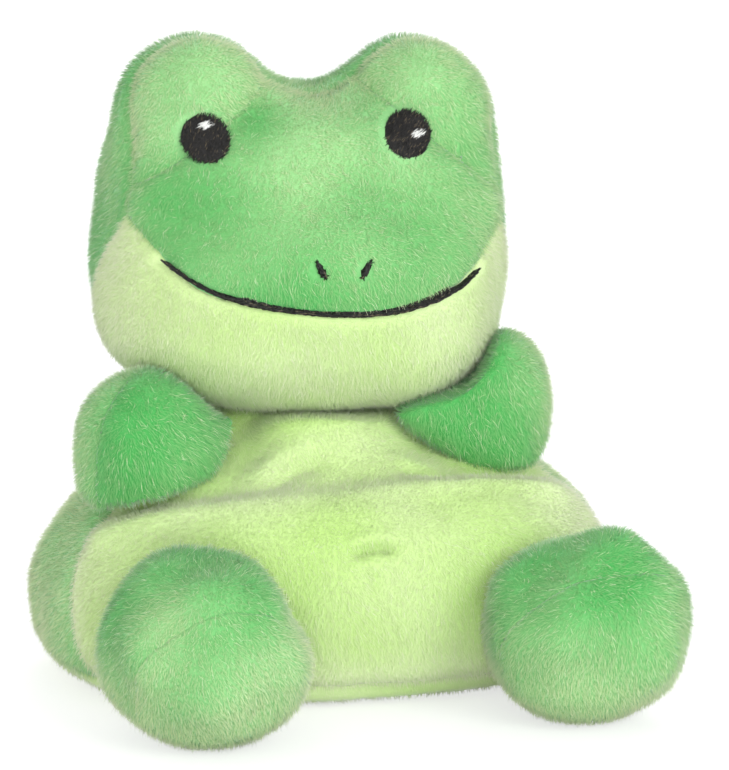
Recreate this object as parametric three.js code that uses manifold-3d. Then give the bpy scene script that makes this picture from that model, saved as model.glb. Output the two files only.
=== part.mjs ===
// A palm-sized plush frog that sits on its bean-weighted seat, in millimetres, with +Z up.
// It faces -Y, so its own left side is +X. The origin is the middle of the flat seat.
// Each soft form is a set of swelling lumps that melt into each other. The fabric is a skin of one
// thickness on that form, cut along its seams into panels, with the stuffing inside it.

import * as THREE from "three";
import { mergeVertices } from "three/addons/utils/BufferGeometryUtils.js";
import Module from "manifold-3d";

const wasm = await Module();
wasm.setup();
const { Manifold, Mesh } = wasm;

const at = (x, y, z) => new THREE.Vector3(x, y, z);
const degrees = THREE.MathUtils.degToRad;

// Fabric, seams and clearances
const fabricThickness = 2.4; // backing and pile together
const seamGap = 0.3; // between two panels, and between a skin and its stuffing
const limbClearance = 0.35; // between a limb or the head and what it is sewn to
const floorCut = 0.5; // how much of each rounded underside is pressed flat by the floor
const cutReach = 400; // past the whole object, for every cutting shape

// Seat and belly: a low bean bag that is wider than it is deep. Its foot spreads under the beans.
const seatSquareness = 2.8; // seen from above: 2 is an egg, and more fills its corners out
const sideSquareness = 3.2; // the same, seen from the side
const baseSquareness = 5.5; // and of the foot of the seat, seen from the side
const seatHalfWidth = 53;
const seatHalfDepth = 36;
const seatHalfHeight = 21;
const baseHalfWidth = 55.5;
const baseHalfDepth = 38.5;
const baseHalfHeight = 13;
const bellyHalfWidth = 48;
const bellyHalfDepth = 31;
const bellyHalfHeight = 19.5;
const bellyMiddleForward = 11;
const bellyLift = 2.5; // of its underside, from the floor
const torsoBlend = 9; // how softly its lumps melt together
const sideSeamForward = 10; // the side seam, ahead of the seat's middle
const sideSeamChestBack = 1; // the same seam, behind the chest's middle
const seatSeamHeight = 4.6;

// Chest, which tapers up into the neck
const chestHalfWidth = 23;
const chestHalfDepth = 21;
const chestHalfHeight = 23;
const chestAboveSeat = 1.5; // its middle, from the top of the seat
const chestMiddleBack = 5;
const upperLean = 2; // the chest and head sit this much to the frog's right

// Pellet pouch on the seat, under the stuffing
const pouchHalfWidth = 37;
const pouchHalfDepth = 23;
const pouchHeight = 17;
const pouchFlat = 1.5; // of its underside, pressed flat on the seat
const pouchSheetThickness = 0.6;

// Head. Its heights are measured from the neck, where its underside rests in the chest.
const headSink = 14; // how far the chest would reach up into the head
const headSquareness = 2.8;
const headMiddleBack = 9;
const headLean = 1.4; // its neck, further to the frog's right than the chest
const craniumHalfWidth = 40.4;
const craniumHalfDepth = 28;
const craniumHalfHeight = 25;
const craniumMiddleAbove = 36.5;
const craniumMiddleBack = 4;
const jawHalfWidth = 39;
const jawHalfDepth = 32;
const jawHalfHeight = 22;
const muzzleHalfWidth = 29;
const muzzleHalfDepth = 18;
const muzzleHalfHeight = 12;
const muzzleMiddleAbove = 30;
const muzzleMiddleForward = 14.5;
const cheekRadius = 15.5;
const cheekSpread = 24.5;
const cheekMiddleAbove = 21;
const cheekMiddleForward = 2;
const domeRadius = 17.3;
const domeSpread = 21.5; // each eye dome's middle, from the head's middle
const domeMiddleAbove = 56.5;
const domeMiddleBack = 1.5;
const headBlend = 8;
const domeBlend = 4.5;
const headTurn = degrees(-2); // about the vertical, towards its right
const headRoll = degrees(2.5); // its left side dips

// Head seams, each the same all the way across the head: places of [forward, up], as shares of the
// jaw's half depth ahead of the head's middle and of the eye domes' height above the neck.
const mouthSeamShares = [
  [1.12, 0.397],
  [0.75, 0.556],
  [0.44, 0.648],
  [0, 0.726],
];
const backSeamShares = [
  [-0.09, 1.33],
  [0.09, 1.03],
  [0.28, 0.708],
  [0.06, 0.549],
  [-0.28, 0.248],
  [-0.37, 0],
];
const seamCurveSteps = 9;
const domeSeamInset = 13.5; // the crease beside each dome tops out this far inside its middle
const domeSeamLift = 9.5; // and this far above it
const domeSeamTilt = degrees(36); // and runs down and outwards from there

// Embroidery, laid on the pile. The eyes are sewn a little unevenly, as on any such toy.
const threadThickness = 1.1;
const eyeHalfWidth = 5;
const eyeHalfHeight = 4.8;
const eyeInset = { right: -2.6, left: 5.4 }; // from each dome's middle, towards the face's middle
const eyeDrop = { right: 1.6, left: 0.5 }; // below each dome's middle
const glintHalfWidth = 1.9;
const glintHalfHeight = 1.25;
const glintAside = { right: 0.5, left: 2.2 }; // to the frog's left of each eye's middle
const glintAbove = { right: 2.2, left: -0.2 };
const nostrilHalfWidth = 0.8;
const nostrilHalfHeight = 2;
const nostrilSpread = 4.5;
const nostrilAside = 0.7; // their middle, to the frog's left of the head's
const nostrilAboveMuzzle = 2;
const nostrilSlant = degrees(24);
const mouthLineThickness = 1.4;
const mouthLineHalfWidth = 32.6;
const mouthLineAside = 1.2; // its middle, to the frog's right of the head's

// Arms: short and round-ended. The left one is tucked in under the chin.
const armReach = { right: 17.5, left: 14.5 }; // shoulder to the middle of the paw
const pawRadius = 14.9;
const shoulderRadius = 10.5;
const armBlend = 6;
const armSeamForward = 2; // of the middle of the arm
const shoulderAboveChest = 8; // from the chest's middle
const shoulderBack = 6; // the line of each arm, behind the chest's middle
const armForward = { right: degrees(30), left: degrees(22) };
const armRaise = { right: degrees(-6), left: degrees(0) };
const armSwing = { back: -12, front: 12 }; // degrees

// Legs: stubby, each with a ball of a foot
const footRadius = 18.8;
const footSpread = 38.2; // each foot's middle, from the middle plane
const footAhead = 13.5; // of the belly's front
const hipRadius = 14.5;
const hipSpread = 33;
const hipHeight = 17;
const legBlend = 7;
const soleSeamShare = { right: 0.34, left: 0.14 }; // of the foot's radius, from its middle
const soleTurn = degrees(10); // each sole faces forwards, a little to the frog's left
const soleTip = degrees(33); // and downwards
const footLift = { down: 0, up: 14 }; // degrees

const limbMiddleShare = 0.6; // how far along a limb it is widest

// The neck's nod, in degrees: negative looks up
const headNod = { up: -8, down: 5 };

// How finely each form's edges are divided, on its outside and on its lining
const headSegments = 6;
const headLiningSegments = 3;
const torsoSegments = 5;
const torsoLiningSegments = 3;
const limbSegments = 3;
const limbLiningSegments = 1;
const pouchSegments = 2;
const eyeSegments = 7;
const glintSegments = 4;

const colours = {
  leafPile: 0x7ccb78,
  belly: 0xcfeb9c,
  stuffing: 0xf4f2ea,
  pouchCloth: 0xe3e0d6,
  pellets: 0xf2f2f2,
  blackThread: 0x1d1a18,
  whiteThread: 0xf4f4f0,
};

function cloth(colour, roughness = 0.95) {
  return new THREE.MeshStandardMaterial({ color: colour, roughness, metalness: 0 });
}

const finish = {
  leafPile: cloth(colours.leafPile),
  bellyPile: cloth(colours.belly),
  stuffing: cloth(colours.stuffing),
  pouchCloth: cloth(colours.pouchCloth, 0.9),
  pellets: cloth(colours.pellets, 0.5),
  blackThread: cloth(colours.blackThread, 0.7),
  whiteThread: cloth(colours.whiteThread, 0.7),
};

// Further from a form's middle than any of its surface
const searchReach = baseHalfWidth + seatHalfDepth + craniumHalfWidth;

// Fields: each says how far outside (positive) or inside (negative) a point lies, in millimetres.

// A swollen lump. A squareness of 2 is an egg, and more fills its corners out: seen from above, and
// then seen from the side.
function lump(middle, half, above = 2, aside = above) {
  return (p) => {
    const [x, y, z] = p.clone().sub(middle).divide(half).toArray().map(Math.abs);
    const ring = (x ** above + y ** above) ** (1 / above) || Number.EPSILON;
    const share = (ring ** aside + z ** aside) ** (1 / aside);
    const outwards = (ring / share) ** (aside - 1);
    const slope = Math.hypot(
      (outwards * (x / ring) ** (above - 1)) / half.x,
      (outwards * (y / ring) ** (above - 1)) / half.y,
      (z / share) ** (aside - 1) / half.z,
    );
    return (share - 1) / slope;
  };
}

function ball(middle, radius) {
  return (p) => p.distanceTo(middle) - radius;
}

// A round-ended bar.
function bar(start, end, radius) {
  const run = end.clone().sub(start);
  return (p) => {
    const share = p.clone().sub(start).dot(run) / run.lengthSq();
    const nearest = start.clone().addScaledVector(run, THREE.MathUtils.clamp(share, 0, 1));
    return p.distanceTo(nearest) - radius;
  };
}

// Several fields as one, which melt into each other within a softness.
function melt(softness, ...fields) {
  return (p) =>
    fields
      .map((field) => field(p))
      .reduce((a, b) => {
        const h = Math.max(softness - Math.abs(a - b), 0) / softness;
        return Math.min(a, b) - (h * h * softness) / 4;
      });
}

// The distance from a point, along a direction, to the outermost surface of a field.
function distanceToSurface(field, from, direction, grow = 0) {
  const steps = 90;
  const halvings = 26;
  const point = at(0, 0, 0);
  const value = (distance) => field(point.copy(from).addScaledVector(direction, distance)) - grow;
  let outside = searchReach;
  let inside = 0;
  for (let i = steps - 1; i >= 0; i -= 1) {
    const distance = (searchReach * i) / steps;
    if (value(distance) < 0) {
      inside = distance;
      break;
    }
    outside = distance;
  }
  for (let i = 0; i < halvings; i += 1) {
    const middle = (inside + outside) / 2;
    if (value(middle) < 0) inside = middle;
    else outside = middle;
  }
  return inside;
}

function surfacePoint(field, from, direction, grow = 0) {
  return from.clone().addScaledVector(direction, distanceToSurface(field, from, direction, grow));
}

// Solids

function solidOf(geometry) {
  const bare = geometry.clone();
  bare.deleteAttribute("normal");
  bare.deleteAttribute("uv");
  const merged = mergeVertices(bare);
  return new Manifold(
    new Mesh({
      numProp: 3,
      vertProperties: merged.attributes.position.array,
      triVerts: new Uint32Array(merged.index.array),
    }),
  );
}

// The closed surface of a form, grown outwards or shrunk inwards by the given distance.
function swell(form, layer, grow = 0) {
  const sphere = new THREE.IcosahedronGeometry(1, form.segments[layer]);
  sphere.deleteAttribute("normal");
  sphere.deleteAttribute("uv");
  const surface = mergeVertices(sphere);
  const place = surface.attributes.position;
  const direction = at(0, 0, 0);
  for (let i = 0; i < place.count; i += 1) {
    direction.fromBufferAttribute(place, i).multiply(form.spread).normalize();
    const p = surfacePoint(form.field, form.middle, direction, grow);
    place.setXYZ(i, p.x, p.y, p.z);
  }
  return solidOf(surface);
}

// Everything on the side of a plane that its normal points to.
function sideOf(point, normal) {
  const block = new THREE.BoxGeometry(cutReach, cutReach, cutReach);
  block.translate(0, 0, cutReach / 2);
  const turn = new THREE.Quaternion().setFromUnitVectors(at(0, 0, 1), normal.clone().normalize());
  block.applyQuaternion(turn);
  block.translate(point.x, point.y, point.z);
  return solidOf(block);
}

const above = (height) => sideOf(at(0, 0, height), at(0, 0, 1));

// A solid turned about an axis through a point.
function turned(solid, pivot, axis, angle) {
  const there = new THREE.Matrix4().makeTranslation(pivot.x, pivot.y, pivot.z);
  const turn = new THREE.Matrix4().makeRotationAxis(axis, angle);
  const back = new THREE.Matrix4().makeTranslation(-pivot.x, -pivot.y, -pivot.z);
  return solid.transform(there.multiply(turn).multiply(back).elements);
}

function without(solid, cutters) {
  return cutters.reduce((left, cutter) => left.subtract(cutter), solid);
}

// A cut can leave loose crumbs at a seam's end, which a sewn panel doesn't have.
function mainPiece(solid) {
  return solid.decompose().reduce((a, b) => (b.volume() > a.volume() ? b : a));
}

// Torso

const sides = { right: -1, left: 1 };

const seatMiddle = at(0, 0, seatHalfHeight - floorCut);
const baseMiddle = at(0, 0, baseHalfHeight - floorCut);
const bellyMiddle = at(0, -bellyMiddleForward, bellyHalfHeight + bellyLift);
const chestMiddle = at(-upperLean, chestMiddleBack, seatMiddle.z + seatHalfHeight + chestAboveSeat);
const torso = {
  segments: { outside: torsoSegments, lining: torsoLiningSegments },
  middle: seatMiddle,
  spread: at(seatHalfWidth, seatHalfDepth, seatHalfHeight + chestHalfHeight / 2),
  field: melt(
    torsoBlend,
    lump(seatMiddle, at(seatHalfWidth, seatHalfDepth, seatHalfHeight), seatSquareness, sideSquareness),
    lump(baseMiddle, at(baseHalfWidth, baseHalfDepth, baseHalfHeight), seatSquareness, baseSquareness),
    lump(
      bellyMiddle,
      at(bellyHalfWidth, bellyHalfDepth, bellyHalfHeight),
      seatSquareness,
      sideSquareness,
    ),
    lump(chestMiddle, at(chestHalfWidth, chestHalfDepth, chestHalfHeight)),
  ),
};

// Head, in a frame of its own that stands on the neck

const neckPlace = at(-upperLean - headLean, headMiddleBack, chestMiddle.z + chestHalfHeight - headSink);
const headFrame = new THREE.Matrix4()
  .makeTranslation(neckPlace.x, neckPlace.y, neckPlace.z)
  .multiply(new THREE.Matrix4().makeRotationZ(headTurn))
  .multiply(new THREE.Matrix4().makeRotationY(headRoll));
const intoHead = headFrame.clone().invert();
const headAxis = (x, y, z) => at(x, y, z).transformDirection(headFrame);
const headPoint = (x, y, z) => at(x, y, z).applyMatrix4(headFrame);

const domes = Object.values(sides).map((sign) =>
  ball(at(sign * domeSpread, domeMiddleBack, domeMiddleAbove), domeRadius),
);
const headShape = melt(
  headBlend,
  lump(
    at(0, craniumMiddleBack, craniumMiddleAbove),
    at(craniumHalfWidth, craniumHalfDepth, craniumHalfHeight),
    headSquareness,
  ),
  lump(at(0, 0, jawHalfHeight), at(jawHalfWidth, jawHalfDepth, jawHalfHeight), headSquareness),
  lump(
    at(0, -muzzleMiddleForward, muzzleMiddleAbove),
    at(muzzleHalfWidth, muzzleHalfDepth, muzzleHalfHeight),
  ),
  ...Object.values(sides).map((sign) =>
    ball(at(sign * cheekSpread, -cheekMiddleForward, cheekMiddleAbove), cheekRadius),
  ),
);
const wholeHead = melt(domeBlend, headShape, ...domes);
const head = {
  segments: { outside: headSegments, lining: headLiningSegments },
  middle: headPoint(0, 0, craniumMiddleAbove),
  spread: at(jawHalfWidth, jawHalfDepth, craniumHalfHeight + jawHalfHeight / 2),
  field: (p) => wholeHead(p.clone().applyMatrix4(intoHead)),
};

const neck = surfacePoint(head.field, head.middle, at(0, 0, -1));
const nodAxis = at(1, 0, 0);
const nodAngles = [headNod.up, headNod.down].map(degrees);
const headSolid = swell(head, "outside");

// What the head takes from the torso and the arms, however it nods.
const nodSweep = (solid) => nodAngles.map((angle) => turned(solid, neck, nodAxis, angle));
const headSweep = nodSweep(swell(head, "outside", limbClearance));
const headLiningSweep = nodSweep(swell(head, "lining", limbClearance + fabricThickness));
const headFillSweep = nodSweep(swell(head, "lining", limbClearance + fabricThickness + seamGap));

const torsoSolid = without(swell(torso, "outside").intersect(above(0)), headSweep);
const torsoLining = without(
  swell(torso, "lining", -fabricThickness).intersect(above(fabricThickness)),
  headLiningSweep,
);
const torsoSkin = torsoSolid.subtract(torsoLining);
const roomOf = (form, layer, grow) => swell(form, layer, limbClearance + grow);

// The side seam leans back on its way up from the seat to the shoulder.
const sideSeamLow = seatMiddle.clone().add(at(0, -sideSeamForward, 0));
const sideSeamHigh = chestMiddle.clone().add(at(0, sideSeamChestBack, 0));
const sideSeamRise = sideSeamHigh.clone().sub(sideSeamLow);
const sideSeamFront = at(0, -sideSeamRise.z, sideSeamRise.y).normalize();

function torsoPanels() {
  const halfGap = seamGap / 2;
  const low = above(seatSeamHeight - halfGap);
  const high = above(seatSeamHeight + halfGap);
  const front = sideOf(sideSeamLow.clone().addScaledVector(sideSeamFront, halfGap), sideSeamFront);
  const back = sideOf(
    sideSeamLow.clone().addScaledVector(sideSeamFront, -halfGap),
    sideSeamFront.clone().negate(),
  );
  const upper = torsoSkin.intersect(high);
  const halves = Object.entries(sides).map(([side, sign]) => [
    `back_panel_${side}`,
    upper.intersect(back).intersect(sideOf(at(sign * halfGap, 0, 0), at(sign, 0, 0))),
    finish.leafPile,
  ]);
  return [
    ["belly_panel", upper.intersect(front), finish.bellyPile],
    ...halves,
    ["seat_panel", torsoSkin.subtract(low), finish.bellyPile],
  ];
}

// The pouch lies on the seat panel, and the stuffing fills the torso above and around it.
function torsoInside() {
  const floor = fabricThickness + seamGap;
  const rim = floor + pouchHeight / 2 - pouchFlat;
  const cushion = (grow) => {
    const form = {
      segments: { outside: pouchSegments },
      middle: at(0, 0, rim),
      spread: at(pouchHalfWidth, pouchHalfDepth, pouchHeight / 2),
      field: lump(
        at(0, 0, rim),
        at(pouchHalfWidth + grow, pouchHalfDepth + grow, pouchHeight / 2 + grow),
      ),
    };
    return swell(form, "outside").intersect(above(floor - grow));
  };
  const sheets = cushion(0).subtract(cushion(-pouchSheetThickness));
  const stuffing = without(
    swell(torso, "lining", -fabricThickness - seamGap).intersect(above(floor)),
    [...headFillSweep, cushion(seamGap)],
  );
  return [
    ["torso_fill", stuffing, finish.stuffing],
    ["pouch_top", sheets.intersect(above(rim + seamGap / 2)), finish.pouchCloth],
    ["pouch_bottom", sheets.subtract(above(rim - seamGap / 2)), finish.pouchCloth],
    ["pellet_fill", cushion(-pouchSheetThickness - seamGap), finish.pellets],
  ];
}

// Head panels

// Everything on one side of a seam whose profile is drawn from the side. The wall stands back from
// the seam by the gap, and goes on in the direction that "away" gives as [forward, up].
function beyondSeam(profile, away, gap) {
  const places = profile.map(([forward, up]) => at(-forward * jawHalfDepth, up * domeMiddleAbove, 0));
  const first = places[0].clone().sub(places[1]).setLength(cutReach).add(places[0]);
  const last = places.at(-1).clone().sub(places.at(-2)).setLength(cutReach).add(places.at(-1));
  const curve = new THREE.CatmullRomCurve3(places);
  const route = [first, ...curve.getPoints(seamCurveSteps), last];
  const step = at(-away[0], away[1], 0);
  const near = route.map((p) => p.clone().addScaledVector(step, gap));
  const far = route.map((p) => p.clone().addScaledVector(step, cutReach)).reverse();
  const outline = new THREE.Shape([...near, ...far].map((p) => new THREE.Vector2(p.x, p.y)));
  const wall = new THREE.ExtrudeGeometry(outline, { depth: cutReach, bevelEnabled: false });
  wall.translate(0, 0, -cutReach / 2);
  wall.applyMatrix4(new THREE.Matrix4().makeBasis(at(0, 1, 0), at(0, 0, 1), at(1, 0, 0)));
  wall.applyMatrix4(headFrame);
  return solidOf(wall);
}

function headPanels() {
  const halfGap = seamGap / 2;
  const lining = swell(head, "lining", -fabricThickness);
  const skin = headSolid.subtract(lining);
  const front = skin.intersect(beyondSeam(backSeamShares, [1, 0], halfGap));
  const back = skin.intersect(beyondSeam(backSeamShares, [-1, 0], halfGap));
  const brow = front.intersect(beyondSeam(mouthSeamShares, [0, 1], halfGap));
  const domePanels = Object.entries(sides).map(([side, sign]) => {
    const outwards = headAxis(sign * Math.sin(domeSeamTilt), 0, Math.cos(domeSeamTilt));
    const crease = headPoint(sign * (domeSpread - domeSeamInset), 0, domeMiddleAbove + domeSeamLift);
    return { side, outwards, crease };
  });
  const crown = domePanels.reduce(
    (left, { outwards, crease }) =>
      left.subtract(sideOf(crease.clone().addScaledVector(outwards, -halfGap), outwards)),
    brow,
  );
  return [
    ["crown_panel", crown, finish.leafPile],
    ...domePanels.map(({ side, outwards, crease }) => [
      `eye_dome_${side}`,
      brow.intersect(sideOf(crease.clone().addScaledVector(outwards, halfGap), outwards)),
      finish.leafPile,
    ]),
    ["chin_panel", front.intersect(beyondSeam(mouthSeamShares, [0, -1], halfGap)), finish.bellyPile],
    ["head_back_panel", back, finish.leafPile],
    ["head_fill", swell(head, "lining", -fabricThickness - seamGap), finish.stuffing],
  ];
}

// Embroidery: patches of thread that follow the head's surface
function embroidery() {
  const bed = swell(head, "outside", seamGap);
  const face = swell(head, "outside", seamGap + threadThickness);
  const layer = face.subtract(bed);

  // A patch with an oval outline, sewn through from the front.
  const patch = (x, z, halfWidth, halfHeight, segments, slant = 0) => {
    const oval = new THREE.Shape().absellipse(0, 0, halfWidth, halfHeight, 0, 2 * Math.PI, false, slant);
    const stamp = new THREE.ExtrudeGeometry(oval, {
      depth: cutReach,
      bevelEnabled: false,
      curveSegments: segments,
    });
    stamp.rotateX(Math.PI / 2);
    stamp.translate(x, 0, z);
    stamp.applyMatrix4(headFrame);
    return solidOf(stamp);
  };

  const eyes = Object.entries(sides).flatMap(([side, sign]) => {
    const x = sign * (domeSpread - eyeInset[side]);
    const z = domeMiddleAbove - eyeDrop[side];
    const glint = (grow) =>
      patch(
        x + glintAside[side],
        z + glintAbove[side],
        glintHalfWidth + grow,
        glintHalfHeight + grow,
        glintSegments,
      );
    const disc = layer.intersect(patch(x, z, eyeHalfWidth, eyeHalfHeight, eyeSegments));
    return [
      [`eye_${side}`, disc.subtract(glint(seamGap)), finish.blackThread],
      [`eye_glint_${side}`, layer.intersect(glint(0)), finish.whiteThread],
    ];
  });
  const nostrils = Object.entries(sides).map(([side, sign]) => [
    `nostril_${side}`,
    layer.intersect(
      patch(
        sign * nostrilSpread + nostrilAside,
        muzzleMiddleAbove + nostrilAboveMuzzle,
        nostrilHalfWidth,
        nostrilHalfHeight,
        glintSegments,
        -sign * nostrilSlant,
      ),
    ),
    finish.blackThread,
  ]);
  const between = Object.values(sides).map((sign) =>
    sideOf(headPoint(sign * mouthLineHalfWidth - mouthLineAside, 0, 0), headAxis(-sign, 0, 0)),
  );
  const ahead = sideOf(headPoint(0, 0, 0), headAxis(0, -1, 0));
  const mouth = [...between, ahead].reduce(
    (left, half) => left.intersect(half),
    layer
      .intersect(beyondSeam(mouthSeamShares, [0, 1], -mouthLineThickness / 2))
      .intersect(beyondSeam(mouthSeamShares, [0, -1], -mouthLineThickness / 2)),
  );
  return [...eyes, ...nostrils, ["mouth_line", mouth, finish.blackThread]];
}

// Limbs: a limb is sewn shut where it meets the torso, so its stuffing stays in its skin.
// "cutters" gives what takes its place from the limb, grown by a distance.
function sewnLimb(form, cutters) {
  const filled = fabricThickness + seamGap;
  const part = (layer, grow) =>
    without(swell(form, layer, -grow).intersect(above(grow)), cutters(layer, grow));
  return {
    skin: part("outside", 0).subtract(part("lining", fabricThickness)),
    fill: part("lining", filled),
  };
}

// The arm points outwards, and swings about the line of its shoulder seam.
function armOf(side, sign) {
  const forward = armForward[side];
  const raise = armRaise[side];
  const direction = at(
    sign * Math.cos(forward) * Math.cos(raise),
    -Math.sin(forward) * Math.cos(raise),
    Math.sin(raise),
  );
  const from = chestMiddle.clone().add(at(0, shoulderBack, shoulderAboveChest));
  const shoulder = surfacePoint(torso.field, from, direction, limbClearance);
  const paw = shoulder.clone().addScaledVector(direction, armReach[side]);
  const root = shoulder.clone().addScaledVector(direction, -shoulderRadius / 2);
  const form = {
    segments: { outside: limbSegments, lining: limbLiningSegments },
    middle: shoulder.clone().lerp(paw, limbMiddleShare),
    spread: at(1, 1, 1),
    field: melt(armBlend, bar(root, paw, shoulderRadius), ball(paw, pawRadius)),
  };
  const up = at(0, 0, 1);
  const axis = up.clone().addScaledVector(direction, -up.dot(direction)).normalize();
  const angles = [armSwing.back, 0, armSwing.front].map(degrees);
  const unswing = (solid) => angles.map((angle) => turned(solid, shoulder, axis, angle));
  const cutters = (layer, grow) => [
    ...unswing(roomOf(torso, layer, grow)),
    ...nodSweep(roomOf(head, layer, grow)).flatMap(unswing),
  ];
  const { skin, fill } = sewnLimb(form, cutters);
  const front = direction.clone().cross(axis).multiplyScalar(-sign).normalize();
  const seam = shoulder.clone().addScaledVector(front, armSeamForward);
  const half = (facing) => sideOf(seam.clone().addScaledVector(facing, seamGap / 2), facing);
  return {
    pivot: shoulder,
    axis,
    panels: [
      [`arm_${side}_front`, skin.intersect(half(front)), finish.leafPile],
      [`arm_${side}_back`, skin.intersect(half(front.clone().negate())), finish.leafPile],
      [`arm_${side}_fill`, fill, finish.stuffing],
    ],
  };
}

// The leg points forwards from the front of the seat, and lifts about its hip seam.
function legOf(side, sign) {
  const bellyFront = bellyMiddle.y - bellyHalfDepth;
  const foot = at(sign * footSpread, bellyFront - footAhead, footRadius - floorCut);
  const inside = at(sign * hipSpread, 0, hipHeight);
  const direction = foot.clone().sub(inside).normalize();
  const hip = surfacePoint(torso.field, inside, direction, limbClearance);
  const root = hip.clone().addScaledVector(direction, -hipRadius / 2);
  const form = {
    segments: { outside: limbSegments, lining: limbLiningSegments },
    middle: hip.clone().lerp(foot, limbMiddleShare),
    spread: at(1, 1, 1),
    field: melt(legBlend, bar(root, foot, hipRadius), ball(foot, footRadius)),
  };
  const axis = direction.clone().cross(at(0, 0, 1)).normalize();
  const angles = [footLift.down, footLift.up].map(degrees);
  const cutters = (layer, grow) => {
    const room = roomOf(torso, layer, grow);
    return angles.map((angle) => turned(room, hip, axis, -angle));
  };
  const { skin, fill } = sewnLimb(form, cutters);
  const facing = at(
    Math.sin(soleTurn) * Math.cos(soleTip),
    -Math.cos(soleTurn) * Math.cos(soleTip),
    -Math.sin(soleTip),
  );
  const seam = foot.clone().addScaledVector(facing, footRadius * soleSeamShare[side]);
  const half = (normal) => sideOf(seam.clone().addScaledVector(normal, seamGap / 2), normal);
  return {
    pivot: hip,
    axis,
    panels: [
      [`foot_${side}_sole`, skin.intersect(half(facing)), finish.leafPile],
      [`foot_${side}_upper`, skin.intersect(half(facing.clone().negate())), finish.leafPile],
      [`foot_${side}_fill`, fill, finish.stuffing],
    ],
  };
}

// Assembly: one group for each sewn part, which stands on its own pivot and turns about its axis

function sewnPart({ pivot, axis, panels }) {
  const group = new THREE.Group();
  group.position.copy(pivot);
  group.userData.axis = axis;
  for (const [name, solid, material] of panels) {
    const { numProp, numVert, vertProperties, triVerts } = mainPiece(solid).getMesh();
    const positions = new Float32Array(numVert * 3);
    for (let i = 0; i < numVert; i += 1) {
      positions.set(vertProperties.subarray(i * numProp, i * numProp + 3), i * 3);
    }
    const geometry = new THREE.BufferGeometry();
    geometry.setAttribute("position", new THREE.BufferAttribute(positions, 3));
    geometry.setIndex(new THREE.BufferAttribute(triVerts, 1));
    geometry.translate(-pivot.x, -pivot.y, -pivot.z);
    geometry.computeVertexNormals();
    const mesh = new THREE.Mesh(geometry, material);
    mesh.name = name;
    group.add(mesh);
  }
  return group;
}

const frog = new THREE.Group();
frog.add(sewnPart({ pivot: at(0, 0, 0), panels: [...torsoPanels(), ...torsoInside()] }));
frog.add(sewnPart({ pivot: neck, axis: nodAxis, panels: [...headPanels(), ...embroidery()] }));
for (const [side, sign] of Object.entries(sides)) {
  frog.add(sewnPart(armOf(side, sign)));
  frog.add(sewnPart(legOf(side, sign)));
}

export default frog;
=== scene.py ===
"""A plush frog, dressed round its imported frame: pile fabric panels, embroidery and stuffing.

Everything is in metres. The frog faces -Y, and its own left side is +X.
"""

import math

import bmesh
import bpy
import numpy as np
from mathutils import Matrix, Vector, noise
from mathutils.bvhtree import BVHTree


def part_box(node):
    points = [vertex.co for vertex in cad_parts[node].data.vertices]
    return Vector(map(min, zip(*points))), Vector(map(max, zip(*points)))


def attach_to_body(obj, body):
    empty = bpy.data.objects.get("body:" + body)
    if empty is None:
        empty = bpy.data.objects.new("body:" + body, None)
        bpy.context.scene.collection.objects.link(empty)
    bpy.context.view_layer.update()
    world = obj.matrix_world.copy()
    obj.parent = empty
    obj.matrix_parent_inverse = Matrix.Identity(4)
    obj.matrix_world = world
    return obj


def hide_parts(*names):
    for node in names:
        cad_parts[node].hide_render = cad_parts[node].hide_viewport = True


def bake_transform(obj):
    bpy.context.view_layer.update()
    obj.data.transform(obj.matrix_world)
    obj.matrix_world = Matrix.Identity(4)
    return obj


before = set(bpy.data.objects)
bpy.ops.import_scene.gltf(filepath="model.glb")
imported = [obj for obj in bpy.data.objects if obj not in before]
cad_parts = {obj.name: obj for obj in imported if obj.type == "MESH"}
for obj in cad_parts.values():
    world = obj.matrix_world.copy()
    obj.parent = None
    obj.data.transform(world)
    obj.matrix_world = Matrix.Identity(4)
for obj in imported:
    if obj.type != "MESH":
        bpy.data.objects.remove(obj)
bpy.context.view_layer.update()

# Photograph and camera
PHOTO_SIZE = (729, 770)  # pixels
PHOTO_AZIMUTH = math.radians(-15)
PHOTO_ELEVATION = math.radians(12)
CAMERA_DISTANCE = 1.4
PIXELS_PER_METRE = 5050
ORIGIN_PIXEL = (323, 663)  # where the middle of the seat's underside is
SENSOR = 36  # millimetres, along the photograph's long side

# Fabric
PILE_DEPTH = 0.0009  # from the roots to the outside of the pile
BACKING = 0.0008
SEAM_REACH = 0.0016  # how far a seam draws the fabric in on each side of it
SEAM_DEPTHS = {"torso": 0.0006, "head": 0.0006, "leg_right": 0.0001, "leg_left": 0.0001}
SEAM_DEPTH = 0.0003  # on the arms
CREASE_REACH = 0.0042  # the same round the eye domes
CREASE_DEPTH = 0.0013
CREASE_LOW = 0.3  # share of that depth at a dome's lower edge
GAP_COVER = 0.00025  # grows each solid over the gaps between the panels
WELD = 1e-6
FLOOR_LIFT = 0.0003  # of the lowest fibres
COVER_REACH = (0.0005, 0.0022)  # from another body: within the first, the fabric isn't drawn in
BARE_REACH = (-0.0005, 0.0005)  # from another body: below the second, the pile is thinner and shorter
SEAM_ROUNDS = 6
EVEN_ROUNDS = 3
CRUMPLE_ROUNDS = 14

# Pile
PILE_LENGTH = 0.0023
PILE_LENGTHS = {"belly_panel": 0.0020, "chin_panel": 0.0021, "seat_panel": 0.0014}
PILE_SHARES = {  # of the full density
    "belly_panel": 0.85,
    "head_back_panel": 0.74,
    "back_panel_right": 0.84,
    "back_panel_left": 0.84,
    "seat_panel": 0.22,
}
PILE_CALM = {"belly_panel": 0.45, "chin_panel": 0.7}  # how far the pile's tufts and its fibres with a painted highlight show
BODY_SEEDS = 100  # set aside for each body, and for each of its panels
PANEL_SEEDS = 10
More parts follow.
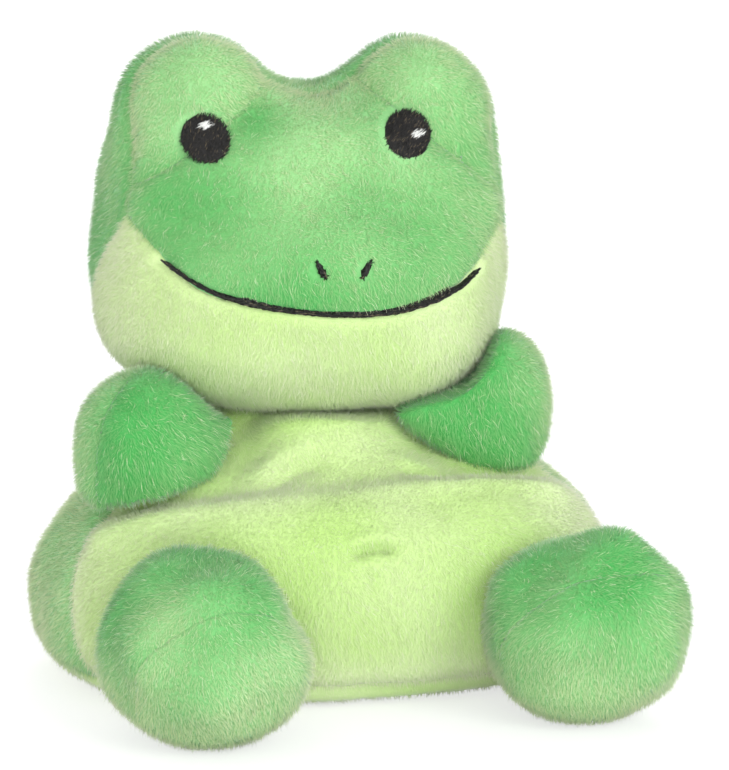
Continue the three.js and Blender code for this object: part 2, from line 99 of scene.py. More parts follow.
# Each coat's fibres to a square metre, length as a share of the pile's, width, lean with the nap, bend at
# the tips, disorder, tufts, share painted with a highlight, and their own paleness on top of their place's
COAT_SIZES = "Density", "Length", "Width", "Lean", "Bend", "Jitter", "Clump", "Luck", "Tint Low", "Tint High"
COATS = {
    "undercoat": dict(zip(COAT_SIZES, (5.2e6, 0.62, 0.00017, 0.55, 0.2, 0.25, 1.4, 0.01, -0.15, 0.12))),
    "topcoat": dict(zip(COAT_SIZES, (0.9e6, 1.0, 0.00012, 0.7, 0.2, 0.5, 2.4, 0.35, -0.1, 0.4))),
}
FIBRE_LENGTHS = (0.7, 1.15)  # shares of a coat's length, from the shortest fibre to the longest
CLUMP_SCALE = 380.0  # of the tufts that the fibres gather in
OWN_SHAPE = 0.35  # how far a fibre's shading follows its own sides, and not the fabric under it
NAP_DOWN = (0, -0.45, -1.0)
NAP_EVEN = 0.15  # how little slope the fabric needs for its nap to lean fully
SWIRL = 0.7
SWIRL_SCALE = 60
SWIRL_SEED = 7  # given, because the noise module otherwise starts its vectors from the clock
PATCH_SCALE = 60  # of the slow changes in how pale the pile is
PATCH_SHARE = 0.5
CROWN_MIDDLE = 0.095  # height above which the crown is painted paler, as painted light on its top, and how fast it changes
CROWN_RISE = 9
LEG_MIDDLE = 0.024  # the same for the feet, painted paler downwards with painted light
LEG_RISE = -22
DOME_BLEND = (0.099, 0.108)  # heights below which a dome runs smoothly into the crown
DOME_DEEPER = 0.35  # how much less of its painted sheen and light a dome has there
DOME_REACH = 0.009
SOLE_BLEND = (0.018, 0.026)  # heights between which a foot's two panels come to match at their seam
SOLE_REACH = 0.008
SOLE_FREE = 0.9  # how far that seam gives way to the stuffing's pressure above them
RIM_SHEEN = 0.8  # painted sheen: how much paler the belly is beside its seams, and how far in
RIM_SHEEN_REACH = 0.006
FOLD_HIGHLIGHT = 160  # painted highlight: how much paler a metre's rise of a fold makes the pile
FOLD_SHADE_CAP = -0.0004  # painted shade: below which a fold's dip makes the pile no deeper
CONTACT_SHADE_REACH = (0.0005, 0.0070)  # from another body: within the second, the pile is painted less pale, as painted shade between the parts
CONTACT_SHADE = 0.22

# Map of a strand's colours: each strand has a narrow column, and the ones with a painted highlight are at the
# far side
PLAIN_COLUMNS = 0.85
HIGHLIGHT_COLUMN = 0.97
HIGHLIGHT_FROM = 0.9
MAP_EDGE = 0.02
COLUMN_WIDTH = 0.02
COLUMN_SLANT = 0.3
PAD_PLACE = (0.3, 0.2)  # the pads under threads take a small square of it
PAD_SPREAD = 9
PAD_REPEAT = 0.01
ROOT_RISE = 0.6  # how fast a strand turns pale along its length, and how that grows with its own tint
TINT_RISE = (0.9, 0.2)
# How fast a strand's painted highlight grows towards its tip.
HIGHLIGHT_RISE = 1.5

# Mottled cloth: how far its patches, its grain and its lay make it pale; the lay carries the pile's painted
# sheen, light and shade
MOTTLE_PATCH = 0.4
MOTTLE_GRAIN = 0.4
MOTTLE_LAY = (0.9, -0.35)
BUMP_STRENGTH = 0.6

# Embroidery
THREAD_MARGIN = 0.0004
PATCH_CLEAR = (0.82, 1.02)  # shares of a patch's half width between which the pile rises round it
MOUTH_MARGIN = (0.0002, 0.0024)  # from the mouth's line, where the pile rises to its full length
MOUTH_STEP = 0.001
MOUTH_ENDS = (0.0016, 0.0004)
MOUTH_ROUNDS = 3
MOUTH_SAG = 0.0010
MOUTH_SAG_AT = 0.006
MOUTH_SAG_REACH = 0.018
MOUTH_WIDTH = 0.0005
MOUTH_TAPER = (1.5, 0.45)  # its width's shares at its two ends
MOUTH_HEIGHT = 0.0008  # above the fabric's backing
EYE_HEIGHT = 0.0008
EYE_GRAIN = (0.5, 0, 0.87)
GLINT_RISE = 0.0004
GLINT_GRAIN = (0.85, 0, 0.5)
GLINT_OVERHANG = 1.3  # times the other patches'
NOSTRIL_WIDTH = 0.0008
NOSTRIL_HEIGHT = 0.0012
NOSTRIL_SLANT = 0.6
NOSTRIL_STEPS = 7
THREAD_SHIFT = 0.0005
THREAD_OVERHANG = 0.0006  # how far threads reach past the pad that they cover
THREAD_LIFT = (-0.0001, 0.00018)
THREAD_LENGTHS = (0.7, 1.2)
THREADS = {
    "eye": {"Density": 16e6, "Length": 0.0018, "Width": 0.00022, "Spread": 0.5},
    "eye_glint": {"Density": 9e6, "Length": 0.0022, "Width": 0.00035, "Spread": 0.2},
    "nostril": {"Density": 9e6, "Length": 0.0020, "Width": 0.00032, "Spread": 0.22},
    "mouth_line": {"Density": 9e6, "Length": 0.0015, "Width": 0.00024, "Spread": 0.15},
}
THREAD_SEEDS = {"eye": 11, "eye_glint": 21, "nostril": 31, "mouth_line": 41}
PAD_SINK = 0.0003
OVAL_SHARES = (0.15, 0.4, 0.6, 0.8, 0.92, 1)
OVAL_STEPS = 36
OVAL_DROP = (0.75, 4)  # how far a pad falls towards its edge, and how late
RIBBON_SHARES = (0.2, 0.6, 1)
RIBBON_DROP = (0.6, 3)
RIBBON_TAPER = 3
RIBBON_TIP = 0.02

# Inside
STUFFING_VOXEL = 0.0025
STUFFING_SMOOTHING = 4
STUFFING_INSET = 0.0016  # under the fabric's outside
TUFT_SCALE = 220
TUFT_DEPTH = 0.0005
PELLETS_PACKED = {"Spacing": 0.0033, "Radius": 0.0015, "Stray": 0.0005, "Voxel": 0.001, "Band": 0.004}
PELLET_EDGE = 0.1  # of the volume's density, above which there are pellets
PELLET_SEED = 3

# Studio
FLOOR_HALF = 4
FLOOR_PALE = 0.85
FLOOR_GLOW = 0.6
GLOW_STRENGTH = 1.15
WORLD_LIGHT = 0.80
LAMPS = {  # the place, target, size and watts of each
    "key": ((0.35, -1.05, 0.6), (0, 0, 0.06), 0.6, 5.8),
    "low_fill": ((-0.3, -1.2, 0.06), (0, 0, 0.04), 0.5, 5.8),
    "rim": ((0.3, 0.9, 0.7), (0, 0, 0.08), 0.7, 4),
    "low_rim": ((-0.95, 0.4, 0.25), (0, 0, 0.05), 0.6, 2),
}

# Forms
FORM_VOXEL = 0.0018
FORM_SMOOTHING = 8
SKIN_SMOOTHING = 3
SMOOTH_SHARE = 0.5
PRESSURE = 4
PUFF_FRAMES = 20
PUFF_QUALITY = 5
PUFF_LIMIT = 0.0012
PIN_TOP = 1.15
PIN_REACH = 0.0035
LUMP_SCALE = 75  # of the slow unevenness that stuffing gives each form
LUMP_DEPTHS = {"leg": 0.0030, "arm": 0.0016, "torso": 0.0012, "head": 0.0008}
LUMP_FREE = 0.01  # height above which the lumps have their full depth
FAR = 9.0

# Folds: the path along each, the way across it, how its ends fade, and its waves' heights, middles and widths
FOLD_STRAY = 0.006
BELLY_FOLD = [
    (-0.0523, -0.0116, 0.0294),
    (-0.0484, -0.0165, 0.0337),
    (-0.0434, -0.0208, 0.0365),
    (-0.0346, -0.0251, 0.0391),
    (-0.0233, -0.0275, 0.0408),
    (-0.0054, -0.0278, 0.0418),
    (0.0087, -0.0271, 0.0420),
    (0.0229, -0.0246, 0.0418),
    (0.0382, -0.0217, 0.0389),
    (0.0487, -0.0160, 0.0336),
]
CALM_MIDDLE = 0.55  # where along its path a fold is calmer, and how far to each side
CALM_REACH = 0.22
CHEST_FOLD_RIGHT = [(-0.0016, -0.0172, 0.0466), (-0.0111, -0.0189, 0.0443), (-0.0196, -0.0247, 0.0421)]
CHEST_FOLD_LEFT = [(0.0062, -0.0180, 0.0451), (0.0161, -0.0222, 0.0427), (0.0243, -0.0255, 0.0413)]
NAVEL_TUCK = [(-0.0062, -0.0405, 0.0311), (0.0001, -0.0407, 0.0330), (0.0062, -0.0404, 0.0322)]
NAVEL_CREASE = [(-0.0005, -0.0413, 0.0305), (-0.0010, -0.0428, 0.0225)]
FOLDS = {
    "torso": [
        {
            "path": BELLY_FOLD,
            "side": (0, 0.9, 0.436),
            "fade": 0.12,
            "waves": [(0.0020, -0.0015, 0.0034), (-0.0019, 0.0048, 0.0044)],
            "calm": 0.7,
        },
        {
            "path": CHEST_FOLD_RIGHT,
            "side": (-0.435, 0.774, 0.45),
            "fade": 0.35,
            "waves": [(0.0013, 0.0034, 0.0028), (-0.0014, -0.0006, 0.0022)],
        },
        {
            "path": CHEST_FOLD_LEFT,
            "side": (0.41, 0.78, 0.46),
            "fade": 0.35,
            "waves": [(0.0008, 0.0034, 0.0028), (-0.0010, -0.0006, 0.0022)],
        },
        {
            "path": NAVEL_TUCK,
            "side": (0, 0.5, 0.866),
            "fade": 0.35,
            "waves": [(-0.0018, 0, 0.0012), (0.0006, 0.0022, 0.0016)],
        },
        {
            "path": NAVEL_CREASE,
            "side": (1, 0, 0),
            "fade": 0.4,
            "waves": [(-0.0008, 0, 0.0009)],
        },
    ]
}

# Nudges: the middle of each, its reach, and how far it moves the fabric there
NUDGES = {
    "head": [
        ((0.036, -0.006, 0.072), 0.013, (-0.0022, 0.0006, 0)),
        ((-0.042, 0.012, 0.090), 0.013, (0.0016, 0, 0)),
    ],
    "torso": [
        ((-0.0185, -0.006, 0.0525), 0.005, (0.0030, 0.0030, -0.0020)),
        ((-0.005, -0.010, 0.055), 0.008, (0, -0.0016, 0.0006)),
        ((0.006, -0.010, 0.055), 0.006, (0, -0.0012, 0.0006)),
        ((-0.050, -0.022, 0.008), 0.016, (-0.0020, -0.0010, 0)),
        ((0.050, -0.022, 0.008), 0.016, (0.0020, -0.0010, 0)),
        ((-0.050, 0.020, 0.008), 0.016, (-0.0016, 0.0010, 0)),
        ((0.050, 0.020, 0.008), 0.016, (0.0016, 0.0010, 0)),
    ],
    "arm_right": [((-0.047, -0.012, 0.060), 0.017, (0.0018, -0.0008, 0.0040))],
    "arm_left": [
        ((0.041, -0.006, 0.063), 0.017, (-0.0026, -0.0008, 0.0026)),
        ((0.020, -0.011, 0.050), 0.009, (-0.0022, -0.0016, 0)),
        ((0.021, -0.008, 0.053), 0.006, (-0.0066, -0.0030, 0.0010)),
        ((0.034, -0.018, 0.044), 0.012, (0, -0.0006, -0.0030)),
        ((0.029, -0.014, 0.063), 0.009, (-0.0006, -0.0024, 0.0004)),
    ],
    "leg_right": [((-0.024, -0.062, 0.010), 0.018, (0.0020, 0.0004, -0.0004))],
    "leg_left": [
        ((0.026, -0.062, 0.008), 0.014, (-0.0018, 0, -0.0004)),
        ((0.019, -0.058, 0.024), 0.011, (-0.0018, 0, 0)),
        ((0.055, -0.055, 0.020), 0.016, (0.0008, 0, 0)),
    ],
}

# Seam moves: where a panel gives way to its neighbours, how far round there, and by how much
SEAM_MOVES = {
    "belly_panel": [
        ((-0.049, -0.010, 0.038), 0.011, 0.011),
        ((0.048, -0.008, 0.037), 0.011, 0.010),
        ((0.050, -0.014, 0.033), 0.009, 0.005),
        ((-0.056, -0.008, 0.020), 0.012, 0.005),
    ],
    "chin_panel": [
        ((0.006, -0.0245, 0.0755), 0.018, 0.0020),
        ((-0.030, -0.020, 0.081), 0.012, 0.0016),
    ],
    "arm_right_back": [((-0.050, -0.016, 0.053), 0.016, 0.0024)],
    "arm_left_back": [((0.046, -0.006, 0.055), 0.016, 0.0016)],
}

# Spots where the pressed-out fabric crumples: the middle of each and its reach
CRUMPLES = {"torso": [((0.0086, -0.0114, 0.0511), 0.0034)]}

SIDES = {"right": -1, "left": 1}
BODIES = {
    "torso": ["belly_panel", "back_panel_right", "back_panel_left", "seat_panel"],
    "head": ["crown_panel", "eye_dome_right", "eye_dome_left", "chin_panel", "head_back_panel"],
}
FILLS = {"torso": "torso_fill", "head": "head_fill"}
for side in SIDES:
    BODIES[f"arm_{side}"] = [f"arm_{side}_front", f"arm_{side}_back"]
    BODIES[f"leg_{side}"] = [f"foot_{side}_sole", f"foot_{side}_upper"]
    FILLS[f"arm_{side}"] = f"arm_{side}_fill"
    FILLS[f"leg_{side}"] = f"foot_{side}_fill"
PALE_PANELS = {"belly_panel", "chin_panel", "seat_panel"}
# Painted sheen and painted shade: how pale the lie of its pile and the light on it make each panel, from 0
# where fibres are seen end on to 1
PANEL_SHEEN_AND_SHADE = {
    "belly_panel": 0.2,
    "chin_panel": 0.6,
    "crown_panel": 0.47,
    "eye_dome_right": 0.8,
    "eye_dome_left": 0.8,
    "back_panel_right": 1.0,
    "back_panel_left": 1.0,
    "head_back_panel": 0.1,
    "seat_panel": 0.5,
    "arm_right_front": 0.5,
    "arm_left_front": 0.5,
    "arm_right_back": 0.0,
    "arm_left_back": 0.0,
    "foot_right_sole": 0.8,
    "foot_left_sole": 0.62,
    "foot_right_upper": 0.4,
    "foot_left_upper": 0.4,
}
# Spots of painted light that are paler or, below 0, of painted shade that are deeper: the middle of each, its
# reach and how much
PAINTED_LIGHT_SPOTS = {
    "head": [
        ((-0.007, -0.010, 0.107), 0.016, 0.35),
        ((-0.036, -0.007, 0.096), 0.014, -0.1),
        ((-0.014, -0.005, 0.112), 0.005, -0.5),
        ((0.030, -0.004, 0.110), 0.010, -0.3),
        ((0.027, -0.013, 0.090), 0.012, 0.35),
        ((-0.020, 0.004, 0.120), 0.013, 0.4),
        ((0.018, 0.004, 0.120), 0.013, 0.4),
        ((0.004, 0.006, 0.114), 0.010, 0.5),
    ],
    "torso": [((-0.002, -0.016, 0.048), 0.011, 0.4), ((0.046, -0.022, 0.029), 0.015, 0.7)],
    "arm_left": [((0.045, -0.010, 0.055), 0.008, 0.8), ((0.040, -0.009, 0.067), 0.007, 0.5)],
    "leg_right": [
        ((-0.047, -0.066, 0.029), 0.007, 0.4),
        ((-0.034, -0.070, 0.040), 0.009, -0.2),
        ((-0.056, -0.060, 0.023), 0.008, -0.35),
    ],
    "leg_left": [((0.023, -0.058, 0.026), 0.008, -0.2), ((0.047, -0.068, 0.020), 0.011, -0.4)],
}


# Node trees


def add(tree, kind, inputs=None, **settings):
    """A node, with its settings, and with each input linked or set."""
    node = tree.nodes.new(kind)
    for key, value in settings.items():
        setattr(node, key, value)
    for key, value in (inputs or {}).items():
        if isinstance(value, bpy.types.NodeSocket):
            tree.links.new(value, node.inputs[key])
        else:
            node.inputs[key].default_value = value
    return node


def result(tree, kind, inputs=None, at=0, **settings):
    """One output of a new node."""
    return add(tree, kind, inputs, **settings).outputs[at]


def maths(tree, operation, *values, clamp=False):
    inputs = dict(enumerate(values))
    return result(tree, "ShaderNodeMath", inputs, operation=operation, use_clamp=clamp)


def vectors(tree, operation, *values):
    return result(tree, "ShaderNodeVectorMath", dict(enumerate(values)), operation=operation)


def scaled(tree, vector, scale):
    return result(tree, "ShaderNodeVectorMath", {0: vector, "Scale": scale}, operation="SCALE")


def combined(tree, x=0.0, y=0.0, z=0.0):
    return result(tree, "ShaderNodeCombineXYZ", {0: x, 1: y, 2: z})


def split_place(tree):
    """The three parts of each vertex's place."""
    place = result(tree, "GeometryNodeInputPosition")
    return add(tree, "ShaderNodeSeparateXYZ", {0: place}).outputs


def blended(tree, share, a, b):
    """A colour between a and b."""
    return result(tree, "ShaderNodeMix", {0: share, 6: a, 7: b}, 2, data_type="RGBA")


def random_number(tree, low, high, seed, draw):
    """A number for each element, with a draw of its own for each use of a tree's seed."""
    inputs = {2: low, 3: high, "Seed": maths(tree, "ADD", seed, draw)}
    return result(tree, "FunctionNodeRandomValue", inputs, 1, data_type="FLOAT")


def random_vector(tree, reach, seed):
    """A vector for each element, with each part within a reach of 0."""
    inputs = {0: (-1,) * 3, 1: (1,) * 3, "Seed": seed}
    return scaled(tree, result(tree, "FunctionNodeRandomValue", inputs, data_type="FLOAT_VECTOR"), reach)


def named(tree, name, kind="FLOAT"):
    return result(tree, "GeometryNodeInputNamedAttribute", {"Name": name}, "Attribute", data_type=kind)


def stored(tree, geometry, name, value, kind="FLOAT", domain="POINT"):
    inputs = {"Geometry": geometry, "Name": name, "Value": value}
    return result(tree, "GeometryNodeStoreNamedAttribute", inputs, data_type=kind, domain=domain)


def new_group(kind, name, inputs, outputs):
    """A node group with named sockets, each given as (name, kind) with or without a value."""
    tree = bpy.data.node_groups.new(name, kind)
    for direction, sockets in (("INPUT", inputs), ("OUTPUT", outputs)):
        for label, form, *value in sockets:
            socket = tree.interface.new_socket(label, in_out=direction, socket_type=f"NodeSocket{form}")
            if value:
                socket.default_value = value[0]
    return tree, tree.nodes.new("NodeGroupInput").outputs, tree.nodes.new("NodeGroupOutput").inputs


def geometry_group(name, sizes):
    """A Geometry Nodes group with an input for each size, a seed and a material."""
    inputs = [("Geometry", "Geometry"), *((label, "Float", size) for label, size in sizes.items())]
    inputs += [("Seed", "Int", 0), ("Material", "Material")]
    return new_group("GeometryNodeTree", name, inputs, [("Geometry", "Geometry")])


def finish_group(tree, geometry, given, made):
    inputs = {"Geometry": geometry, "Material": given["Material"]}
    tree.links.new(result(tree, "GeometryNodeSetMaterial", inputs), made["Geometry"])


def rooted(tree, given, share):
    """Points all over the given mesh, as dense as its attribute says, and the fabric's normals there."""
    density = maths(tree, "MULTIPLY", given["Density"], named(tree, share))
    inputs = {"Mesh": given["Geometry"], "Density": density, "Seed": given["Seed"]}
    spread = add(tree, "GeometryNodeDistributePointsOnFaces", inputs).outputs
    return spread["Points"], spread["Normal"]


def planted(tree, points, shape, **inputs):
    """Real copies of a shape on the points."""
    inputs = {"Points": points, "Instance": shape, **inputs}
    copies = result(tree, "GeometryNodeInstanceOnPoints", inputs)
    return result(tree, "GeometryNodeRealizeInstances", {0: copies})


def mapped(tree, geometry):
    """Gives each strand its own narrow column of the map, with its root at the bottom."""
    column = maths(tree, "MULTIPLY_ADD", named(tree, "tint"), 1 - 2 * MAP_EDGE, MAP_EDGE)
    column = maths(tree, "MULTIPLY_ADD", named(tree, "aside"), COLUMN_WIDTH, column)
    place = combined(tree, column, named(tree, "along"))
    return stored(tree, geometry, "OFBake", place, "FLOAT2", "CORNER")


def new_object(name, mesh):
    made = bpy.data.objects.new(name, mesh)
    bpy.context.scene.collection.objects.link(made)
    return made


def evaluated_mesh(source):
    graph = bpy.context.evaluated_depsgraph_get()
    return bpy.data.meshes.new_from_object(source.evaluated_get(graph), depsgraph=graph)


def grown(name, source, tree, material, inputs):
    """A piece made by a tree on a source object, which keeps no modifier."""
    sockets = {
        item.name: item.identifier
        for item in tree.interface.items_tree
        if item.item_type == "SOCKET" and item.in_out == "INPUT"
    }
    modifier = source.modifiers.new(tree.name, "NODES")
    modifier.node_group = tree
    for label, value in inputs.items():
        modifier[sockets[label]] = value
    modifier[sockets["Material"]] = material
    mesh = evaluated_mesh(source)
    source.modifiers.remove(modifier)
    mesh.name = name
    return new_object(name, mesh)


# Materials


def colour(code):
    """A written sRGB colour as Blender's linear one."""
    parts = [int(code[i : i + 2], 16) / 255 for i in (1, 3, 5)]
    linear = [((c + 0.055) / 1.055) ** 2.4 if c > 0.04045 else c / 12.92 for c in parts]
    return (*linear, 1)


def strand_group():
    """The colour of a strand: from its root to its tip, with each strand a little its own, and a painted
    highlight towards the tips of a few.
    """
    inputs = [("Root", "Color"), ("Tip", "Color"), ("Bright", "Color")]
    tree, given, made = new_group("ShaderNodeTree", "strand_colour", inputs, [("Colour", "Color")])
    place = result(tree, "ShaderNodeUVMap", uv_map="OFBake")
    tint, along, _ = add(tree, "ShaderNodeSeparateXYZ", {0: place}).outputs
    shade = maths(tree, "DIVIDE", tint, PLAIN_COLUMNS, clamp=True)
    share = maths(tree, "MULTIPLY_ADD", shade, *TINT_RISE)
    rise = maths(tree, "MULTIPLY", maths(tree, "POWER", along, ROOT_RISE), share, clamp=True)
    body = blended(tree, rise, given["Root"], given["Tip"])
    # A few strands take a painted highlight towards their tips.
    highlighted = maths(tree, "GREATER_THAN", tint, HIGHLIGHT_FROM)
    painted_highlight = maths(tree, "MULTIPLY", highlighted, maths(tree, "POWER", along, HIGHLIGHT_RISE))
    tree.links.new(blended(tree, painted_highlight, body, given["Bright"]), made["Colour"])
    return tree


def mottle_group():
    """Soft patches and fine grain over a fabric, with a matching bump height."""
    inputs = [("Dark", "Color"), ("Light", "Color"), ("Lay", "Float", 0.5)]
    inputs += [("Patch Scale", "Float", 60), ("Grain Scale", "Float", 1500)]
    outputs = [("Colour", "Color"), ("Height", "Float")]
    tree, given, made = new_group("ShaderNodeTree", "mottle", inputs, outputs)
    place = result(tree, "ShaderNodeTexCoord", at="Object")
    noises = [
        result(tree, "ShaderNodeTexNoise", {"Vector": place, "Scale": given[label], "Detail": detail}, "Fac")
        for label, detail in (("Patch Scale", 2), ("Grain Scale", 3))
    ]
    patches, grain = noises
    mixed = maths(tree, "MULTIPLY_ADD", patches, MOTTLE_PATCH, maths(tree, "MULTIPLY", grain, MOTTLE_GRAIN))
    lay = maths(tree, "MULTIPLY_ADD", given["Lay"], *MOTTLE_LAY)
    share = maths(tree, "ADD", mixed, lay, clamp=True)
    tree.links.new(blended(tree, share, given["Dark"], given["Light"]), made["Colour"])
    tree.links.new(grain, made["Height"])
    return tree


STRAND = strand_group()
MOTTLE = mottle_group()


def new_material(name, **settings):
    material = bpy.data.materials.new(name)
    material.use_nodes = True
    tree = material.node_tree
    shader = tree.nodes["Principled BSDF"].inputs
    for label, value in settings.items():
        shader[label.replace("_", " ").title()].default_value = value
    return material, tree, shader


def strand_material(name, root, tip, painted_highlight, **settings):
    material, tree, shader = new_material(name, **settings)
    inputs = {"Root": colour(root), "Tip": colour(tip), "Bright": colour(painted_highlight)}
    tree.links.new(result(tree, "ShaderNodeGroup", inputs, node_tree=STRAND), shader["Base Color"])
    return material


def mottled_material(name, dark, light, patch, grain, bump, lay=None, **settings):
    """A mottled cloth: its two colours, the scales of its patches and grain, and its bump's depth."""
    material, tree, shader = new_material(name, **settings)
    inputs = {"Dark": colour(dark), "Light": colour(light), "Patch Scale": patch, "Grain Scale": grain}
    # The lay is the pile's paleness, with its painted sheen, light and shade.
    if lay:
        place = {"attribute_name": lay, "attribute_type": "GEOMETRY"}
        inputs["Lay"] = result(tree, "ShaderNodeAttribute", at="Fac", **place)
    shown = add(tree, "ShaderNodeGroup", inputs, node_tree=MOTTLE).outputs
    tree.links.new(shown["Colour"], shader["Base Color"])
    inputs = {"Strength": BUMP_STRENGTH, "Distance": bump, "Height": shown["Height"]}
    tree.links.new(result(tree, "ShaderNodeBump", inputs), shader["Normal"])
    return material


SOFT = {"roughness": 0.9, "sheen_weight": 0.7, "sheen_roughness": 0.4}
LEAF_SKIN = mottled_material("leaf_backing", "#4fb35a", "#a0d893", 60, 1500, 0.0003, lay="pale", **SOFT)
PALE_SKIN = mottled_material("pale_backing", "#c0e389", "#dcefb6", 60, 1500, 0.0003, lay="pale", **SOFT)
# The third colour of each pile is a painted highlight at the tips of a few fibres.
LEAF_PILE = strand_material("leaf_pile", "#60c168", "#e2efb9", "#fbfde6", **SOFT)
PALE_PILE = strand_material("pale_pile", "#cdeb98", "#f4f7dc", "#fefef4", **SOFT)
STUFFING = mottled_material("stuffing", "#dcdad2", "#fbfaf6", 90, 700, 0.0008, roughness=1)
POUCH = mottled_material("pouch_cloth", "#cfccc2", "#e6e3da", 80, 2600, 0.0002, roughness=0.9)
PELLETS = mottled_material("pellets", "#e2e4e6", "#f7f8f8", 200, 900, 0.00005, roughness=0.35)
# The third colour of each thread is a painted highlight on a few threads.
BLACK_THREAD = strand_material("black_thread", "#0a0908", "#14110e", "#7d6f58", roughness=0.5)
WHITE_THREAD = strand_material("white_thread", "#c9cbc6", "#f4f5f2", "#ffffff", roughness=0.5)


# Meshes read as arrays


def rows_of(items, key, width, kind=np.float32):
    """What each item of a mesh holds under a key, as one row of an array."""
    found = np.empty(len(items) * width, kind)
    items.foreach_get(key, found)
    return found.reshape(-1, width)


def coordinates(mesh):
    return rows_of(mesh.vertices, "co", 3).astype(float)


def normals_of(mesh):
    return rows_of(mesh.vertex_normals, "vector", 3).astype(float)


def read(mesh, name):
    return rows_of(mesh.attributes[name].data, "value", 1)[:, 0].astype(float)


def store(mesh, name, values):
    kind, key = ("FLOAT_VECTOR", "vector") if values.ndim == 2 else ("FLOAT", "value")
    made = mesh.attributes.new(name, kind, "POINT")
    made.data.foreach_set(key, values.astype(np.float32).ravel())


def place_vertices(mesh, places):
    mesh.vertices.foreach_set("co", places.astype(np.float32).ravel())
    mesh.update()


def shade_smooth(mesh):
    mesh.polygons.foreach_set("use_smooth", [True] * len(mesh.polygons))


def surface_of(mesh):
    return BVHTree.FromPolygons([v.co for v in mesh.vertices], [p.vertices for p in mesh.polygons])


# Shares and distances


def ramp(values, low, high):
    """Rises smoothly from 0 at low to 1 at high."""
    share = np.clip((values - low) / (high - low), 0, 1)
    return share * share * (3 - 2 * share)


def bell(values, reach):
    """1 at 0, and less and less to both sides of it."""
    return np.exp(-((values / reach) ** 2))


def near(places, middle, reach):
    """1 in the middle of a spot, and less and less round it."""
    return bell(np.linalg.norm(places - np.array(middle), axis=1), reach)


def noise_at(places, scale, shift=(0, 0, 0)):
    """Slow noise at each place, from about -1 to 1."""
    return np.array([noise.noise(Vector(place) * scale + Vector(shift)) for place in places])


def around(mesh, values):
    """The mean of each vertex's neighbours."""
    edges = rows_of(mesh.edges, "vertices", 2, np.int32)
    first, second = edges.T
    count = len(values)
    total = np.bincount(first, values[second], count) + np.bincount(second, values[first], count)
    return total / np.bincount(edges.ravel(), minlength=count)


def evened(mesh, values):
    """Values spread a little over each vertex's neighbours."""
    for _ in range(EVEN_ROUNDS):
        values = (values + around(mesh, values)) / 2
    return values


def smoothed_out(mesh, places, middle, reach):
    """Evens out a crumpled spot of a form, less and less away from its middle."""
    share = near(places, middle, reach)[:, None]
    for _ in range(CRUMPLE_ROUNDS):
        mean = np.column_stack([around(mesh, row) for row in places.T])
        places = places + share * (mean - places)
    return places


# Forms


def welded(nodes, grow=0):
    """A copy of some CAD nodes with their vertices merged, each solid grown a little."""
    bm = bmesh.new()
    for node in nodes:
        bm.from_mesh(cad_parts[node].data)
    bmesh.ops.remove_doubles(bm, verts=bm.verts, dist=WELD)
    bm.normal_update()
    for vertex in bm.verts:
        vertex.co += vertex.normal * grow
    mesh = bpy.data.meshes.new("welded")
    bm.to_mesh(mesh)
    bm.free()
    return mesh


def outer_shell(mesh):
    """Keeps only the largest of a mesh's loose parts."""
    bm = bmesh.new()
    bm.from_mesh(mesh)
    left = set(bm.verts)
    shells = []
    while left:
        start = left.pop()
        found = {start}
        edge = [start]
        while edge:
            vertex = edge.pop()
            for link in vertex.link_edges:
                other = link.other_vert(vertex)
                if other in left:
                    left.remove(other)
                    found.add(other)
                    edge.append(other)
        shells.append(found)
    keep = max(shells, key=len)
    bmesh.ops.delete(bm, geom=[v for v in bm.verts if v not in keep], context="VERTS")
    bm.to_mesh(mesh)
    bm.free()


def with_modifier(name, mesh, kind, **settings):
    """The mesh after one modifier."""
    held = new_object(name, mesh)
    modifier = held.modifiers.new(kind, kind)
    for key, value in settings.items():
        setattr(modifier, key, value)
    made = evaluated_mesh(held)
    bpy.data.objects.remove(held)
    return made


def smoothed(name, mesh, rounds):
    return with_modifier(name, mesh, "SMOOTH", factor=SMOOTH_SHARE, iterations=rounds)


def subdivided(name, mesh):
    return with_modifier(name, mesh, "SUBSURF", levels=1, render_levels=1)


def lump(nodes, voxel, smoothing, grow=0):
    """One closed smooth surface round some CAD nodes."""
    mesh = with_modifier("lump", welded(nodes, grow), "REMESH", mode="VOXEL", voxel_size=voxel)
    outer_shell(mesh)
    return smoothed("lump", mesh, smoothing)


def distances(places, nodes):
    """How far each place is from some CAD nodes."""
    surface = surface_of(welded(nodes))
    return np.array([surface.find_nearest(Vector(place))[3] for place in places])


def stuffed(mesh, pins):
    """How each vertex moves when the form is pressed out from within, held by its seams."""
    start = coordinates(mesh)
    held = new_object("stuffed", mesh.copy())
    group = held.vertex_groups.new(name="seams")
    for index, weight in enumerate(pins):
        group.add([index], float(weight), "REPLACE")
    cloth = held.modifiers.new("stuffing", "CLOTH")
    cloth.settings.quality = PUFF_QUALITY
    cloth.settings.use_pressure = True
    cloth.settings.uniform_pressure_force = PRESSURE
    cloth.settings.effector_weights.gravity = 0
    cloth.settings.vertex_group_mass = group.name
    cloth.collision_settings.use_collision = False
    for number in range(1, PUFF_FRAMES + 1):
        bpy.context.scene.frame_set(number)
        held.evaluated_get(bpy.context.evaluated_depsgraph_get())
    moved = coordinates(evaluated_mesh(held)) - start
    bpy.context.scene.frame_set(1)
    bpy.data.objects.remove(held)
    reach = np.linalg.norm(moved, axis=1)[:, None]
    return moved * np.minimum(1, PUFF_LIMIT / np.maximum(reach, WELD))


def along_path(places, path):
    """From each place to the nearest point of a path of straight runs: (offset, share of its length)."""
    path = np.array(path)
    best = np.full(len(places), FAR)
    offset = np.zeros((len(places), 3))
    share = np.zeros(len(places))
    for number, (start, end) in enumerate(zip(path, path[1:])):
        run = end - start
        t = np.clip((places - start) @ run / (run @ run), 0, 1)
        apart = places - start - t[:, None] * run
        reach = np.linalg.norm(apart, axis=1)
        nearer = reach < best
        best[nearer] = reach[nearer]
        offset[nearer] = apart[nearer]
        share[nearer] = (number + t[nearer]) / (len(path) - 1)
    return offset, share


